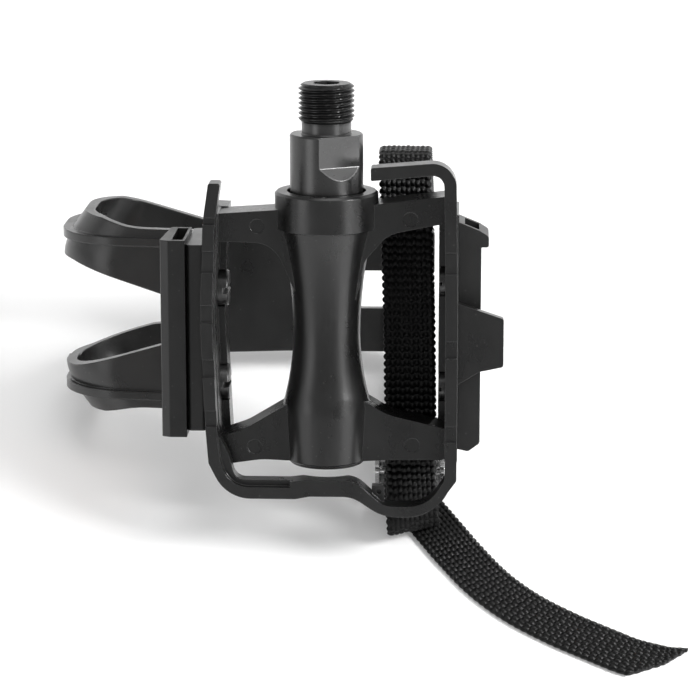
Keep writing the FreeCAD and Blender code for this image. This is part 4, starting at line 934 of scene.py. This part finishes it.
set_inputs(paper_tree, paper_shader, {
    "Base Color": (0.88, 0.88, 0.88, 1), "Roughness": 0.9, "Specular IOR Level": 0.1,
    "Emission Color": (1, 1, 1, 1),
    "Emission Strength": maths(paper_tree, "MULTIPLY_ADD", looked_at, even_glow, seen_glow),
})
floor_data.materials.append(paper)
print("floor:", 2 * floor_half_m, "m wide")

# %% [markdown]
# ## Light
# Soft boxes light the pedal, and each has one task. A strong one high on the right models the barrel, a
# small one low on the right edges the hoop, two weak ones on the left fill the dark side, and one above
# softens the shadow. The sky adds an even light. One large dome of light alone would be simpler, but black
# resin shows nothing but reflections, and it needs dark gaps between them. For the camera, and through a
# lens, the sky is white. In reflections it is white only low behind the pedal, where the backdrop hangs.

# %% Soft boxes
lamp_aim = np.array([0.0, 0.0, 0.05])
lamps = {
    "right": ((0.74, -0.21, 0.60), 0.32, 10.5),
    "low_right": ((0.74, -0.56, 0.19), 0.34, 0.7),
    "front_left": ((-0.74, -0.58, 0.23), 0.36, 0.6),
    "left": ((-0.75, -0.25, 0.45), 0.5, 0.7),
    "top": ((0.12, 0.12, 0.9), 0.6, 2.0),
}
for name, (place, size, watts) in lamps.items():
    lamp = bpy.data.lights.new(name, "AREA")
    lamp.size = size
    lamp.energy = watts
    away = np.array(place) - lamp_aim
    away = away / np.linalg.norm(away)
    side = np.cross([0.0, 0.0, 1.0], away)
    side = side / np.linalg.norm(side)
    put(add_object(name, lamp), np.array([side, np.cross(away, side), away]).T, place)
print("soft boxes:", *lamps)

# %% Sky
even_light, more_on_dull = 0.38, 0.2
world = bpy.data.worlds.new("studio")
world.use_nodes = True
bpy.context.scene.world = world
sky_tree = world.node_tree
sky_tree.nodes.clear()
rays = add_node(sky_tree, "LightPath").outputs
sky_way = add_node(sky_tree, "SeparateXYZ", {"Vector": add_node(sky_tree, "TexCoord").outputs["Generated"]})
behind = remap(sky_tree, sky_way.outputs["Y"], -0.1, 0.35)
below_top = remap(sky_tree, sky_way.outputs["Z"], 0.28, 0.5, 1.0, 0.0)
backdrop = maths(sky_tree, "MULTIPLY", behind, below_top)
mirrored = maths(sky_tree, "MULTIPLY", rays["Is Glossy Ray"], backdrop)
straight = maths(sky_tree, "MAXIMUM", rays["Is Camera Ray"], rays["Is Transmission Ray"])
seen = maths(sky_tree, "MAXIMUM", straight, mirrored)
lit = maths(sky_tree, "MULTIPLY_ADD", rays["Is Diffuse Ray"], more_on_dull, even_light)
even = add_node(sky_tree, "Background", {"Color": (1, 1, 1, 1), "Strength": lit})
white = add_node(sky_tree, "Background", {"Color": (1, 1, 1, 1), "Strength": 1.0})
choice = add_node(sky_tree, "MixShader", {0: seen, 1: even.outputs["Background"],
                                          2: white.outputs["Background"]})
add_node(sky_tree, "OutputWorld", {"Surface": choice.outputs["Shader"]})
bpy.context.scene.view_settings.view_transform = "Standard"
print("sky:", world.name, "even light", even_light)
